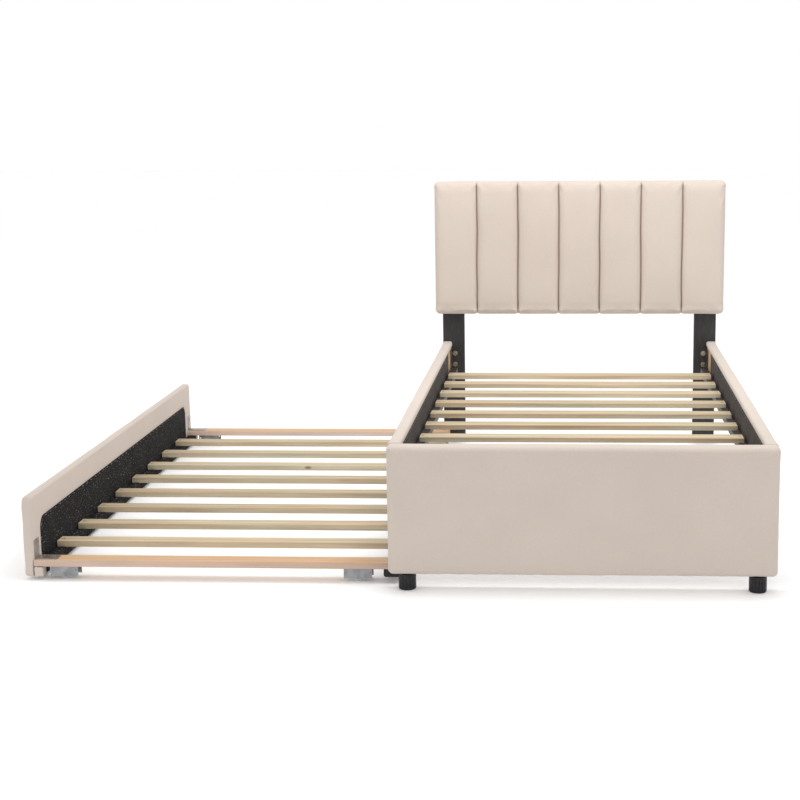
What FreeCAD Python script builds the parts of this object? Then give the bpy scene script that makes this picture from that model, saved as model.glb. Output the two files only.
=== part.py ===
import FreeCAD, Part
import os
import re
import Sketcher

# An upholstered single bed on a board frame, with a low trundle bed that rolls out of its left side.
# Lengths are in millimetres, +Z is up and the trundle stands rolled out. The origin is on the floor,
# in the middle of the footprint of bed and rolled-out trundle together. All the places below are
# written from the bed's own centre line (X), the footboard's front face (Y) and the floor (Z).

SIZES = {
    # overall frame
    "bed_width": 1064,
    "bed_depth": 1990,
    "frame_top": 406,
    # headboard
    "headboard_overhang": 26,
    "headboard_gap": 112,
    "headboard_height": 510,
    "headboard_padding": 30,
    "headboard_board": 18,
    "headboard_wrap": 10,
    "headboard_corner": 15,
    "headboard_edge": 18,
    "back_cover_thickness": 2,
    "back_cover_inset": 5,
    # posts
    "post_width": 84,
    "post_thickness": 27,
    "post_lap": 332,
    "post_edge": 2,
    "glide_height": 3,
    "glide_length": 60,
    "glide_depth": 20,
    "low_bolt_rise": 82,
    "high_bolt_rise": 262,
    # footboard
    "foot_height": 45,
    "foot_radius": 24.5,
    "foot_rounding": 5,
    "foot_inset": 52,
    "foot_setback": 30,
    "flute_radius": 1.6,
    "flute_count": 16,
    "footboard_padding": 14,
    "footboard_board": 18,
    "footboard_batten": 18,
    "batten_width": 45,
    "footboard_border": 5,
    "footboard_edge": 11,
    "corner_edge": 6,
    # rails, linings and ledges
    "rail_height": 160,
    "rail_padding": 14,
    "rail_board": 18,
    "rail_border": 4,
    "rail_edge": 9,
    "top_padding": 10,
    "bottom_wrap": 4,
    "border_drop": 20,
    "lining_thickness": 2,
    "lining_short": 180,
    "ledge_width": 25,
    "ledge_height": 25,
    "ledge_drop": 96.5,
    "ledge_end_gap": 6,
    "board_edge": 1.5,
    # bed slats
    "slat_width": 60,
    "slat_thickness": 15,
    "slat_count": 9,
    "foot_slat_gap": 170,
    "head_slat_gap": 300,
    "slat_end_gap": 8,
    # steel angles and their bolts
    "angle_thickness": 3,
    "angle_leg": 60,
    "angle_flange": 28,
    "angle_height": 76,
    "angle_drop": 106,
    "angle_bolt_inset": 14,
    "angle_bolt_spacing": 44,
    "bolt_flange_inset": 15,
    "bolt_radius": 4,
    "bolt_hole_gap": 0.3,
    "bolt_head_radius": 7.5,
    "bolt_head_height": 5,
    "washer_radius": 10,
    "washer_thickness": 1.5,
    "bolt_grip": 12,
    "socket_floor": 2,
    "post_skin": 8,
    # wood screws
    "screw_radius": 2,
    "screw_hole_gap": 0.1,
    "screw_head_radius": 4.5,
    "screw_head_height": 2.4,
    "screw_sink": 2.5,
    "screw_bite": 14,
    "slat_screw_inset": 9,
    # trundle
    "trundle_travel": 1038,
    "trundle_setback": 75,
    "trundle_back_gap": 25,
    "panel_bottom": 10,
    "panel_top_gap": 6,
    "panel_padding": 9,
    "panel_board": 15,
    "panel_border": 4,
    "panel_wrap": 8,
    "panel_corner": 20,
    "panel_edge": 8,
    "panel_border_width": 76,
    "lining_corner": 26,
    "deck_thickness": 18,
    "deck_slat_width": 52,
    "deck_slat_count": 8,
    "end_rail_width": 60,
    "deck_end_gap": 1,
    "deck_ledge_width": 25,
    "deck_ledge_height": 28,
    "inner_bar_width": 45,
    "inner_bar_height": 22,
    "inner_bar_rounding": 7,
    # trundle corner brackets
    "bracket_width": 38,
    "bracket_rise": 55,
    "bracket_reach": 64,
    "bracket_thickness": 2,
    "bracket_screw_inset": 14,
    # casters
    "caster_length": 80,
    "caster_width": 36,
    "caster_plate": 1.6,
    "caster_wall_low": 10,
    "caster_inset": 42,
    "caster_inner_inset": 79,
    "ear_radius": 7,
    "wheel_radius": 14,
    "wheel_top_gap": 10.4,
    "wheel_side_gap": 4.4,
    "wheel_rounding": 2.5,
    "axle_radius": 3,
    "axle_gap": 0.06,
    "rivet_radius": 4.6,
    "rivet_height": 1.4,
    "caster_screw_offset": 30,
    "wall_hole_radius": 2,
    "wall_hole_drop": 12,
    "wall_hole_offset": 34,
}

doc = FreeCAD.newDocument("TrundleBed")
sheet = doc.addObject("Spreadsheet::Sheet", "Sizes")
for row, (alias, value) in enumerate(SIZES.items(), start=1):
    sheet.set(f"A{row}", alias)
    sheet.set(f"B{row}", str(value))
    sheet.setAlias(f"B{row}", alias)
doc.recompute()

# The bed's centre line and footboard front, seen from the document's origin.
CENTRE_X = "(trundle_travel - headboard_overhang) / 2"
FRONT_Y = "-(bed_depth + post_thickness + washer_thickness + bolt_head_height) / 2"

# A screw's hole in the wood or steel it passes through.
SCREW_HOLE = "screw_radius + screw_hole_gap"

nodes = []


# ---------------------------------------------------------------- helpers

def bound(text):
    """An expression that reads each size it names from the spreadsheet."""
    return re.sub(r"[a-z][a-z_]+", lambda word: "Sizes." + word.group(0), text)


def place(item, x, y, z):
    """Puts an object's own origin at a place in the bed."""
    item.setExpression("Placement.Base.x", bound(f"{CENTRE_X} + ({x})"))
    item.setExpression("Placement.Base.y", bound(f"{FRONT_Y} + ({y})"))
    item.setExpression("Placement.Base.z", bound(z))


def keep(item, name):
    """Makes an object one of the bed's sub-parts, under that name."""
    item.Label = name
    nodes.append(item)
    return item


def across(side, inner, outer):
    """The X span between two distances from the centre line, on the left or the right of it."""
    if side == "left":
        return f"-({outer})", f"-({inner})"
    return inner, outer


def block(name, x, y, z):
    """A plain box between three pairs of places."""
    item = doc.addObject("Part::Box", name)
    for size, (low, high) in zip(("Length", "Width", "Height"), (x, y, z)):
        item.setExpression(size, bound(f"({high}) - ({low})"))
    place(item, x[0], y[0], z[0])
    return item


def rod(name, start, radius, length, along):
    """A cylinder from a place, along a direction."""
    item = doc.addObject("Part::Cylinder", name)
    turn = FreeCAD.Rotation(FreeCAD.Vector(0, 0, 1), FreeCAD.Vector(*along))
    item.Placement = FreeCAD.Placement(FreeCAD.Vector(), turn)
    item.setExpression("Radius", bound(radius))
    item.setExpression("Height", bound(length))
    place(item, *start)
    return item


def hexagon(name, start, radius, length, along):
    """A six-sided prism from a place, along a direction."""
    item = doc.addObject("Part::Prism", name)
    item.Polygon = 6
    turn = FreeCAD.Rotation(FreeCAD.Vector(0, 0, 1), FreeCAD.Vector(*along))
    item.Placement = FreeCAD.Placement(FreeCAD.Vector(), turn)
    item.setExpression("Circumradius", bound(radius))
    item.setExpression("Height", bound(length))
    place(item, *start)
    return item


def fuse(name, items):
    """One solid from several."""
    item = doc.addObject("Part::MultiFuse", name)
    item.Shapes = items
    return item


def cut(name, base, tools):
    """A base with one or more tools taken away."""
    item = doc.addObject("Part::Cut", name)
    item.Base = base
    item.Tool = tools[0] if len(tools) == 1 else group(name + "_tools", tools)
    return item


def group(name, items):
    """Separate solids that are kept together."""
    item = doc.addObject("Part::Compound", name)
    item.Links = items
    return item


def new_sketch(body, name, plane="XY_Plane"):
    """An empty sketch on one of a body's own planes."""
    sketch = body.newObject("Sketcher::SketchObject", name)
    support = next(item for item in body.Origin.OriginFeatures if item.Role == plane)
    sketch.AttachmentSupport = [(support, "")]
    sketch.MapMode = "FlatFace"
    return sketch


def measure(sketch, kind, *where, size):
    """A dimension of a sketch, bound to the sizes."""
    index = sketch.addConstraint(Sketcher.Constraint(kind, *where, 10.0))
    sketch.setExpression(f"Constraints[{index}]", bound(size))


def draw_rectangle(sketch, width, depth):
    """A rectangle whose first corner is the sketch's origin."""
    corners = [FreeCAD.Vector(*point) for point in ((0, 0), (10, 0), (10, 10), (0, 10))]
    for start, end in zip(corners, corners[1:] + corners[:1]):
        sketch.addGeometry(Part.LineSegment(start, end), False)
    for line in range(4):
        sketch.addConstraint(Sketcher.Constraint("Coincident", line, 2, (line + 1) % 4, 1))
        sketch.addConstraint(Sketcher.Constraint(("Horizontal", "Vertical")[line % 2], line))
    sketch.addConstraint(Sketcher.Constraint("Coincident", 0, 1, -1, 1))
    measure(sketch, "DistanceX", 0, 1, 0, 2, size=width)
    measure(sketch, "DistanceY", 1, 1, 1, 2, size=depth)


def draw_circle(sketch, radius, x=None, y=None):
    """A circle at the sketch's origin, or at a place of its own."""
    spread = 20.0 * (sketch.GeometryCount + 1)
    middle = FreeCAD.Vector(0 if x is None else spread, 0 if x is None else 10, 0)
    circle = sketch.addGeometry(Part.Circle(middle, FreeCAD.Vector(0, 0, 1), 3), False)
    if x is None:
        sketch.addConstraint(Sketcher.Constraint("Coincident", circle, 3, -1, 1))
    else:
        measure(sketch, "DistanceX", -1, 1, circle, 3, size=x)
        measure(sketch, "DistanceY", -1, 1, circle, 3, size=y)
    measure(sketch, "Radius", circle, size=radius)


def extrude(body, kind, name, sketch, length, **settings):
    """A pad or a pocket of a sketch."""
    feature = body.newObject("PartDesign::" + kind, name)
    feature.Profile = sketch
    for setting, value in settings.items():
        setattr(feature, setting, value)
    feature.setExpression("Length", bound(length))
    sketch.Visibility = False
    doc.recompute()
    return feature


def round_over(body, name, radius, wanted, kind="Fillet"):
    """Rounds or chamfers the edges of a body's last feature that the test accepts."""
    base = body.Tip
    chosen = [f"Edge{i}" for i, edge in enumerate(base.Shape.Edges, 1) if wanted(edge, base.Shape.BoundBox)]
    feature = body.newObject("PartDesign::" + kind, name)
    feature.Base = (base, chosen)
    feature.setExpression("Radius" if kind == "Fillet" else "Size", bound(radius))
    doc.recompute()
    return feature


def box_body(name, x, y, z):
    """A body that starts as a box between three pairs of places."""
    body = doc.addObject("PartDesign::Body", name)
    sketch = new_sketch(body, name + "_outline")
    draw_rectangle(sketch, f"({x[1]}) - ({x[0]})", f"({y[1]}) - ({y[0]})")
    extrude(body, "Pad", name + "_pad", sketch, f"({z[1]}) - ({z[0]})")
    place(body, x[0], y[0], z[0])
    return body


def direction(edge):
    """The letter of the axis that a straight edge follows, or an empty word."""
    step = edge.Vertexes[-1].Point - edge.Vertexes[0].Point
    sizes = (abs(step.x), abs(step.y), abs(step.z))
    return "xyz"[sizes.index(max(sizes))] if sorted(sizes)[1] < 1e-6 else ""


def on_side(edge, box, side):
    """Whether an edge lies in one face of a box, named as x-, x+, y-, y+, z- or z+."""
    face = getattr(box, side[0].upper() + ("Max" if side[1] == "+" else "Min"))
    low = getattr(edge.BoundBox, side[0].upper() + "Min")
    high = getattr(edge.BoundBox, side[0].upper() + "Max")
    return abs(low - face) < 1e-4 and abs(high - face) < 1e-4


def board(name, x, y, top, thickness, screws=(), through=True, depth="screw_bite"):
    """A sawn board with eased long edges and a hole for each screw, drilled from above."""
    body = doc.addObject("PartDesign::Body", name)
    outline = new_sketch(body, name + "_outline")
    draw_rectangle(outline, f"({x[1]}) - ({x[0]})", f"({y[1]}) - ({y[0]})")
    extrude(body, "Pad", name + "_pad", outline, thickness, Reversed=True)
    long_way = "x" if body.Shape.BoundBox.XLength > body.Shape.BoundBox.YLength else "y"
    round_over(body, name + "_edges", "board_edge", lambda edge, box: direction(edge) == long_way)
    if screws:
        holes = new_sketch(body, name + "_holes")
        for place_x, place_y in screws:
            draw_circle(holes, SCREW_HOLE, f"{place_x} - ({x[0]})", f"{place_y} - ({y[0]})")
        extrude(body, "Pocket", name + "_drilled", holes, f"{thickness} + 1" if through else depth)
    if screws and through:
        seats = new_sketch(body, name + "_seats")
        for place_x, place_y in screws:
            radius = "screw_head_radius + screw_hole_gap"
            draw_circle(seats, radius, f"{place_x} - ({x[0]})", f"{place_y} - ({y[0]})")
        extrude(body, "Pocket", name + "_sunk", seats, "screw_sink")
    place(body, x[0], y[0], top)
    return keep(body, name)


def wood_screw(name, x, y, z, thickness, along=(0, 0, -1)):
    """A screw through a board of that thickness: a flat head in its seat and a shank into the next board."""
    step = "-" if min(along) < 0 else "+"
    axis = [abs(part) for part in along].index(1)
    start = [x, y, z]
    start[axis] = f"{z if axis == 2 else start[axis]} {step} (screw_sink - screw_head_height)"
    head = rod(name + "_head", start, "screw_head_radius", "screw_head_height", along)
    start = list(start)
    start[axis] = f"{start[axis]} {step} screw_head_height / 2"
    shank = rod(name + "_shank", start, "screw_radius", f"{thickness} + screw_bite - screw_sink - 1", along)
    return fuse(name, [head, shank])


# ---------------------------------------------------------------- headboard

HEAD_SIDE = "(bed_width / 2 + headboard_overhang)"
HEAD_LOW = "frame_top + headboard_gap"
HEAD_HIGH = "frame_top + headboard_gap + headboard_height"
HEAD_BACK = "bed_depth"
HEAD_FRONT = "bed_depth - back_cover_thickness - headboard_board - headboard_padding"
BOARD_BACK = "bed_depth - back_cover_thickness"
BOARD_FRONT = "bed_depth - back_cover_thickness - headboard_board"

head_board_x = (f"-{HEAD_SIDE} + headboard_wrap", f"{HEAD_SIDE} - headboard_wrap")
head_board_z = (f"{HEAD_LOW} + headboard_wrap", f"{HEAD_HIGH} - headboard_wrap")

LOW_HEAD_BOLT = f"{HEAD_LOW} + low_bolt_rise"
HIGH_HEAD_BOLT = f"{HEAD_LOW} + high_bolt_rise"
BOLT_HOLE = "bolt_radius + bolt_hole_gap"
HEAD_SOCKET = "headboard_board - socket_floor"
POST_MIDDLE = "bed_width / 2 - post_width / 2"
POST_BOLTS = [
    (f"{sign} ({POST_MIDDLE})", height)
    for sign in ("-", "+")
    for height in (LOW_HEAD_BOLT, HIGH_HEAD_BOLT)
]

head_sockets = [
    rod(f"head_socket_{i}", (x, BOARD_BACK, z), BOLT_HOLE, HEAD_SOCKET, (0, -1, 0))
    for i, (x, z) in enumerate(POST_BOLTS, 1)
]
core = block("head_board_blank", head_board_x, (BOARD_FRONT, BOARD_BACK), head_board_z)
keep(cut("head_board_drilled", core, head_sockets), "headboard_board")

cushion = box_body(
    "head_cushion_blank",
    (f"-{HEAD_SIDE}", HEAD_SIDE),
    (HEAD_FRONT, BOARD_BACK),
    (HEAD_LOW, HEAD_HIGH),
)
round_over(cushion, "head_corners", "headboard_corner", lambda edge, box: direction(edge) == "y")
round_over(cushion, "head_front_edge", "headboard_edge", lambda edge, box: on_side(edge, box, "y-"))
head_space = block("head_board_space", head_board_x, (BOARD_FRONT, BOARD_BACK), head_board_z)
keep(cut("head_cushion", cushion, [head_space]), "headboard_cushion")

back_cover = box_body(
    "back_cover_blank",
    (f"-{HEAD_SIDE} + back_cover_inset", f"{HEAD_SIDE} - back_cover_inset"),
    (BOARD_BACK, HEAD_BACK),
    (f"{HEAD_LOW} + back_cover_inset", f"{HEAD_HIGH} - back_cover_inset"),
)
round_over(back_cover, "back_cover_corners", "headboard_corner - back_cover_inset",
           lambda edge, box: direction(edge) == "y")
back_holes = [
    rod(f"back_cover_hole_{i}", (x, HEAD_BACK, z), BOLT_HOLE, "back_cover_thickness", (0, -1, 0))
    for i, (x, z) in enumerate(POST_BOLTS, 1)
]
keep(cut("back_cover_drilled", back_cover, back_holes), "headboard_back_cover")

# ---------------------------------------------------------------- posts, glides and bolts

RAIL_OUTER = "bed_width / 2"
RAIL_CORE_OUTER = "bed_width / 2 - rail_padding"
RAIL_CORE_INNER = "bed_width / 2 - rail_padding - rail_board"
RAIL_INNER = "bed_width / 2 - rail_padding - rail_board - rail_border"
FLANGE_BOLT = f"{RAIL_CORE_INNER} - bolt_flange_inset"
LEDGE_TOP = "frame_top - ledge_drop"
ANGLE_Z = ("frame_top - angle_drop", "frame_top - angle_drop + angle_height")
ANGLE_BOLTS = {
    "low": f"{ANGLE_Z[0]} + angle_bolt_inset",
    "high": f"{ANGLE_Z[0]} + angle_bolt_inset + angle_bolt_spacing",
}
POST_SOCKET = "post_thickness - post_skin"

glides = []
head_bolts = []
rail_bolts = []


def hex_bolt(name, start, length, along):
    """A hex bolt with its washer, head outwards, and a shank into the wood."""
    out = tuple(-part for part in along)
    x, y, z = start
    sign = "-" if along[1] > 0 else "+"
    washer = rod(name + "_washer", start, "washer_radius", "washer_thickness", out)
    head_start = (x, f"{y} {sign} washer_thickness", z)
    head = hexagon(name + "_head", head_start, "bolt_head_radius", "bolt_head_height", out)
    shank = rod(name + "_shank", start, "bolt_radius", length, along)
    return fuse(name, [washer, head, shank])


for side in ("left", "right"):
    sign = "-" if side == "left" else "+"
    post_x = across(side, "bed_width / 2 - post_width", "bed_width / 2")
    post_y = ("bed_depth", "bed_depth + post_thickness")
    body = box_body(f"{side}_post_blank", post_x, post_y, ("glide_height", f"{HEAD_LOW} + post_lap"))
    round_over(body, f"{side}_post_edges", "post_edge", lambda edge, box: direction(edge) == "z")
    holes = [
        rod(f"{side}_post_hole_{i}", (f"{sign} ({POST_MIDDLE})", "bed_depth", height), BOLT_HOLE, "post_thickness",
            (0, 1, 0))
        for i, height in enumerate((LOW_HEAD_BOLT, HIGH_HEAD_BOLT), 1)
    ]
    for level, height in ANGLE_BOLTS.items():
        bolt_x = f"{sign} ({FLANGE_BOLT})"
        holes.append(rod(f"{side}_post_socket_{level}", (bolt_x, "bed_depth", height), BOLT_HOLE, POST_SOCKET,
                         (0, 1, 0)))
        rail_bolts.append(hex_bolt(f"{side}_head_angle_bolt_{level}", (bolt_x, "bed_depth - angle_thickness", height),
                                   f"{POST_SOCKET} + angle_thickness - 1", (0, 1, 0)))
    keep(cut(f"{side}_post_drilled", body, holes), f"{side}_post")
    middle = f"{sign} ({POST_MIDDLE})"
    depth_middle = "bed_depth + post_thickness / 2"
    glides.append(
        block(f"{side}_glide",
              (f"{middle} - glide_length / 2", f"{middle} + glide_length / 2"),
              (f"{depth_middle} - glide_depth / 2", f"{depth_middle} + glide_depth / 2"),
              ("0", "glide_height"))
    )

for i, (x, z) in enumerate(POST_BOLTS, 1):
    head_bolts.append(
        hex_bolt(f"head_bolt_{i}", (x, "bed_depth + post_thickness", z),
                 f"post_thickness + back_cover_thickness + {HEAD_SOCKET} - 1", (0, -1, 0))
    )

keep(group("glide_pair", glides), "post_glides")
keep(group("head_bolt_set", head_bolts), "headboard_bolts")

# ---------------------------------------------------------------- footboard

FOOT_PANEL = ("footboard_padding", "footboard_padding + footboard_board")
FOOT_BACK = "footboard_padding + footboard_board + footboard_batten"
FOOT_DEPTH = f"{FOOT_BACK} + footboard_border"
FOOT_CORE = "bed_width / 2 - top_padding"
FOOT_LOW = "foot_height + bottom_wrap"
FOOT_HIGH = "frame_top - top_padding"

keep(block("foot_panel", (f"-({FOOT_CORE})", FOOT_CORE), FOOT_PANEL, (FOOT_LOW, FOOT_HIGH)), "footboard_panel")

batten_y = (FOOT_PANEL[1], FOOT_BACK)
upright_z = (f"{FOOT_LOW} + batten_width", f"{FOOT_HIGH} - batten_width")
FOOT_ANGLE_Y = f"{FOOT_BACK} + lining_thickness"
FOOT_ANGLE_X = f"{RAIL_CORE_INNER} - lining_thickness"
FOOT_ANGLE_BOLT = f"{FOOT_ANGLE_X} - bolt_flange_inset"


def foot_bolt_holes(name, face_y, length):
    """The holes of the foot angles' bolts, from a face towards the front, on both sides."""
    return [
        rod(f"{name}_{side}_{level}", (f"{sign} ({FOOT_ANGLE_BOLT})", face_y, height), BOLT_HOLE, length, (0, -1, 0))
        for side, sign in (("left", "-"), ("right", "+"))
        for level, height in ANGLE_BOLTS.items()
    ]


battens = [
    block("batten_low", (f"-({FOOT_CORE})", FOOT_CORE), batten_y, (FOOT_LOW, upright_z[0])),
    cut("batten_high_drilled",
        block("batten_high", (f"-({FOOT_CORE})", FOOT_CORE), batten_y, (upright_z[1], FOOT_HIGH)),
        foot_bolt_holes("batten_high_hole", FOOT_BACK, "bolt_grip")),
    cut("batten_left_drilled",
        block("batten_left", (f"-({FOOT_CORE})", f"-({FOOT_CORE} - batten_width)"), batten_y, upright_z),
        foot_bolt_holes("batten_left_hole", FOOT_BACK, "bolt_grip")),
    block("batten_middle", ("-batten_width / 2", "batten_width / 2"), batten_y, upright_z),
    cut("batten_right_drilled",
        block("batten_right", (f"{FOOT_CORE} - batten_width", FOOT_CORE), batten_y, upright_z),
        foot_bolt_holes("batten_right_hole", FOOT_BACK, "bolt_grip")),
]
keep(group("foot_battens", battens), "footboard_battens")

foot_cover = box_body("foot_cover_blank", (f"-({RAIL_OUTER})", RAIL_OUTER), ("0", FOOT_DEPTH),
                      ("foot_height", "frame_top"))
round_over(foot_cover, "foot_cover_front", "footboard_edge",
           lambda edge, box: on_side(edge, box, "y-") and not on_side(edge, box, "z-"))
round_over(foot_cover, "foot_cover_back", "corner_edge",
           lambda edge, box: on_side(edge, box, "y+") and on_side(edge, box, "z+"))
foot_space = block("foot_space", (f"-({FOOT_CORE})", FOOT_CORE), (FOOT_PANEL[0], FOOT_BACK), (FOOT_LOW, FOOT_HIGH))
lining_x = f"{FOOT_CORE} - border_drop"
foot_window = block("foot_window", (f"-({lining_x})", lining_x), (FOOT_BACK, FOOT_DEPTH),
                    (f"{FOOT_LOW} + border_drop", "frame_top - border_drop"))
keep(cut("foot_cover", foot_cover, [foot_space, foot_window]), "footboard_cover")
foot_lining = block("foot_lining", (f"-({lining_x})", lining_x), (FOOT_BACK, FOOT_ANGLE_Y),
                    (f"{FOOT_LOW} + border_drop", "frame_top - border_drop"))
keep(cut("foot_lining_drilled", foot_lining, foot_bolt_holes("foot_lining_hole", FOOT_ANGLE_Y, "lining_thickness")),
     "footboard_lining")

feet = []
for side in ("left", "right"):
    sign = "-" if side == "left" else "+"
    name = f"{side}_foot"
    body = doc.addObject("PartDesign::Body", name)
    outline = new_sketch(body, name + "_outline")
    draw_circle(outline, "foot_radius")
    extrude(body, "Pad", name + "_pad", outline, "foot_height")
    round_over(body, name + "_rounding", "foot_rounding", lambda edge, box: on_side(edge, box, "z-"))
    rounded = body.Shape.Volume
    flute = new_sketch(body, name + "_flute")
    draw_circle(flute, "flute_radius", "foot_radius", "0")
    first = extrude(body, "Pocket", name + "_fluted", flute, "foot_height + 1", Reversed=True)
    ring = body.newObject("PartDesign::PolarPattern", name + "_flutes")
    ring.Originals = [first]
    ring.Axis = (flute, ["N_Axis"])
    ring.Angle = 360
    ring.setExpression("Occurrences", bound("flute_count"))
    body.Tip = ring
    doc.recompute()
    if body.Shape.Volume > rounded - 10:
        raise RuntimeError(name + " has no flutes")
    place(body, f"{sign} (bed_width / 2 - foot_inset)", "foot_setback", "0")
    feet.append(body)
keep(group("foot_pair", feet), "feet")

# ---------------------------------------------------------------- side rails, linings, ledges, steel angles

LEDGE_INNER = f"{RAIL_INNER} - ledge_width"
SLAT_REACH = f"{RAIL_INNER} - slat_end_gap"
slat_steps = SIZES["slat_count"] - 1
slat_pitch = f"((bed_depth - foot_slat_gap - head_slat_gap) / {slat_steps})"
slat_middles = [f"foot_slat_gap + {i} * {slat_pitch}" for i in range(slat_steps + 1)]
foot_angles = []
foot_bolts = []

for side in ("left", "right"):
    sign = "-" if side == "left" else "+"
    inner_side = "x+" if side == "left" else "x-"
    rail_y = (FOOT_DEPTH, "bed_depth")
    rail_z = ("frame_top - rail_height", "frame_top")
    core_x = across(side, RAIL_CORE_INNER, RAIL_CORE_OUTER)
    core_z = (f"{rail_z[0]} + bottom_wrap", "frame_top - top_padding")
    border_x = across(side, RAIL_INNER, RAIL_CORE_INNER)
    window_z = (rail_z[0], "frame_top - border_drop")
    lining_x = across(side, f"{RAIL_CORE_INNER} - lining_thickness", RAIL_CORE_INNER)

    keep(block(f"{side}_rail_blank", core_x, rail_y, core_z), f"{side}_rail_board")
    cover = box_body(f"{side}_rail_cover_blank", across(side, RAIL_INNER, RAIL_OUTER), rail_y, rail_z)
    round_over(cover, f"{side}_rail_cover_outer", "rail_edge",
               lambda edge, box: direction(edge) == "y" and on_side(edge, box, "z+")
               and not on_side(edge, box, inner_side))
    round_over(cover, f"{side}_rail_cover_inner", "corner_edge",
               lambda edge, box: direction(edge) == "y" and on_side(edge, box, "z+")
               and on_side(edge, box, inner_side))
    core_space = block(f"{side}_rail_space", core_x, rail_y, core_z)
    window = block(f"{side}_rail_window", border_x, rail_y, window_z)
    keep(cut(f"{side}_rail_cover_cut", cover, [core_space, window]), f"{side}_rail_cover")
    keep(block(f"{side}_lining", lining_x, (FOOT_DEPTH, "bed_depth - lining_short"),
               (f"{rail_z[0]} + bottom_wrap", window_z[1])), f"{side}_rail_lining")

    ledge_x = across(side, LEDGE_INNER, RAIL_INNER)
    ledge_y = (f"{FOOT_DEPTH} + angle_leg + ledge_end_gap", "bed_depth - angle_leg - ledge_end_gap")
    screw_x = f"{sign} ({SLAT_REACH} - slat_screw_inset)"
    board(f"{side}_slat_ledge", ledge_x, ledge_y, LEDGE_TOP, "ledge_height",
          [(screw_x, middle) for middle in slat_middles], through=False)

    # The head angle: one leg on the rail's board, one flange on the post.
    leg = block(f"{side}_head_leg", across(side, f"{RAIL_CORE_INNER} - angle_thickness", RAIL_CORE_INNER),
                ("bed_depth - angle_leg", "bed_depth"), ANGLE_Z)
    flange = block(f"{side}_head_flange", across(side, f"{RAIL_CORE_INNER} - angle_flange", RAIL_CORE_INNER),
                   ("bed_depth - angle_thickness", "bed_depth"), ANGLE_Z)
    holes = [
        rod(f"{side}_head_angle_{level}", (f"{sign} ({FLANGE_BOLT})", "bed_depth - angle_thickness", height),
            BOLT_HOLE, "angle_thickness", (0, 1, 0))
        for level, height in ANGLE_BOLTS.items()
    ]
    keep(cut(f"{side}_head_angle_cut", fuse(f"{side}_head_angle_blank", [leg, flange]), holes),
         f"{side}_head_angle")

    # The foot angle: one leg on the rail's lining, one flange on the footboard's lining.
    leg = block(f"{side}_foot_leg", across(side, f"{FOOT_ANGLE_X} - angle_thickness", FOOT_ANGLE_X),
                (FOOT_ANGLE_Y, f"{FOOT_ANGLE_Y} + angle_leg"), ANGLE_Z)
    flange = block(f"{side}_foot_flange", across(side, f"{FOOT_ANGLE_X} - angle_flange", FOOT_ANGLE_X),
                   (FOOT_ANGLE_Y, f"{FOOT_ANGLE_Y} + angle_thickness"), ANGLE_Z)
    holes = []
    for level, height in ANGLE_BOLTS.items():
        start = (f"{sign} ({FOOT_ANGLE_BOLT})", f"{FOOT_ANGLE_Y} + angle_thickness", height)
        holes.append(rod(f"{side}_foot_angle_{level}", start, BOLT_HOLE, "angle_thickness", (0, -1, 0)))
        foot_bolts.append(hex_bolt(f"{side}_foot_angle_bolt_{level}", start,
                                   "angle_thickness + lining_thickness + bolt_grip - 1", (0, -1, 0)))
    foot_angles.append(cut(f"{side}_foot_angle_cut", fuse(f"{side}_foot_angle_blank", [leg, flange]), holes))

keep(group("foot_angle_pair", foot_angles), "foot_angles")
keep(group("angle_bolt_set", rail_bolts + foot_bolts), "angle_bolts")

# ---------------------------------------------------------------- bed slats

slat_screws = []
for i, middle in enumerate(slat_middles, 1):
    places = [(f"{sign} ({SLAT_REACH} - slat_screw_inset)", middle) for sign in ("-", "+")]
    board(f"bed_slat_{i}", (f"-({SLAT_REACH})", SLAT_REACH),
          (f"{middle} - slat_width / 2", f"{middle} + slat_width / 2"),
          f"{LEDGE_TOP} + slat_thickness", "slat_thickness", places)
    for end, (x, y) in zip(("left", "right"), places):
        slat_screws.append(wood_screw(f"slat_screw_{i}_{end}", x, y, f"{LEDGE_TOP} + slat_thickness", "slat_thickness"))
keep(group("slat_screw_set", slat_screws), "bed_slat_screws")

# ---------------------------------------------------------------- trundle panel

PANEL_OUTER = "-bed_width / 2 - trundle_travel"
PANEL_CORE = (f"{PANEL_OUTER} + panel_padding", f"{PANEL_OUTER} + panel_padding + panel_board")
PANEL_INNER = f"{PANEL_CORE[1]} + panel_border"
panel_y = ("trundle_setback", "bed_depth - trundle_back_gap")
PANEL_TOP = "frame_top - rail_height - panel_top_gap"
panel_core_y = (f"{panel_y[0]} + panel_wrap", f"{panel_y[1]} - panel_wrap")
panel_core_z = ("panel_bottom + bottom_wrap", f"{PANEL_TOP} - panel_wrap")


def rounded_panel(name, x, y, z, radius):
    """A board standing in the YZ plane with its two upper corners rounded."""
    body = box_body(name, x, y, z)
    round_over(body, name + "_corners", radius, lambda edge, box: direction(edge) == "x" and on_side(edge, box, "z+"))
    return body


core_corner = "panel_corner - panel_wrap"
keep(rounded_panel("panel_board_blank", PANEL_CORE, panel_core_y, panel_core_z, core_corner), "trundle_panel_board")

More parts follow.
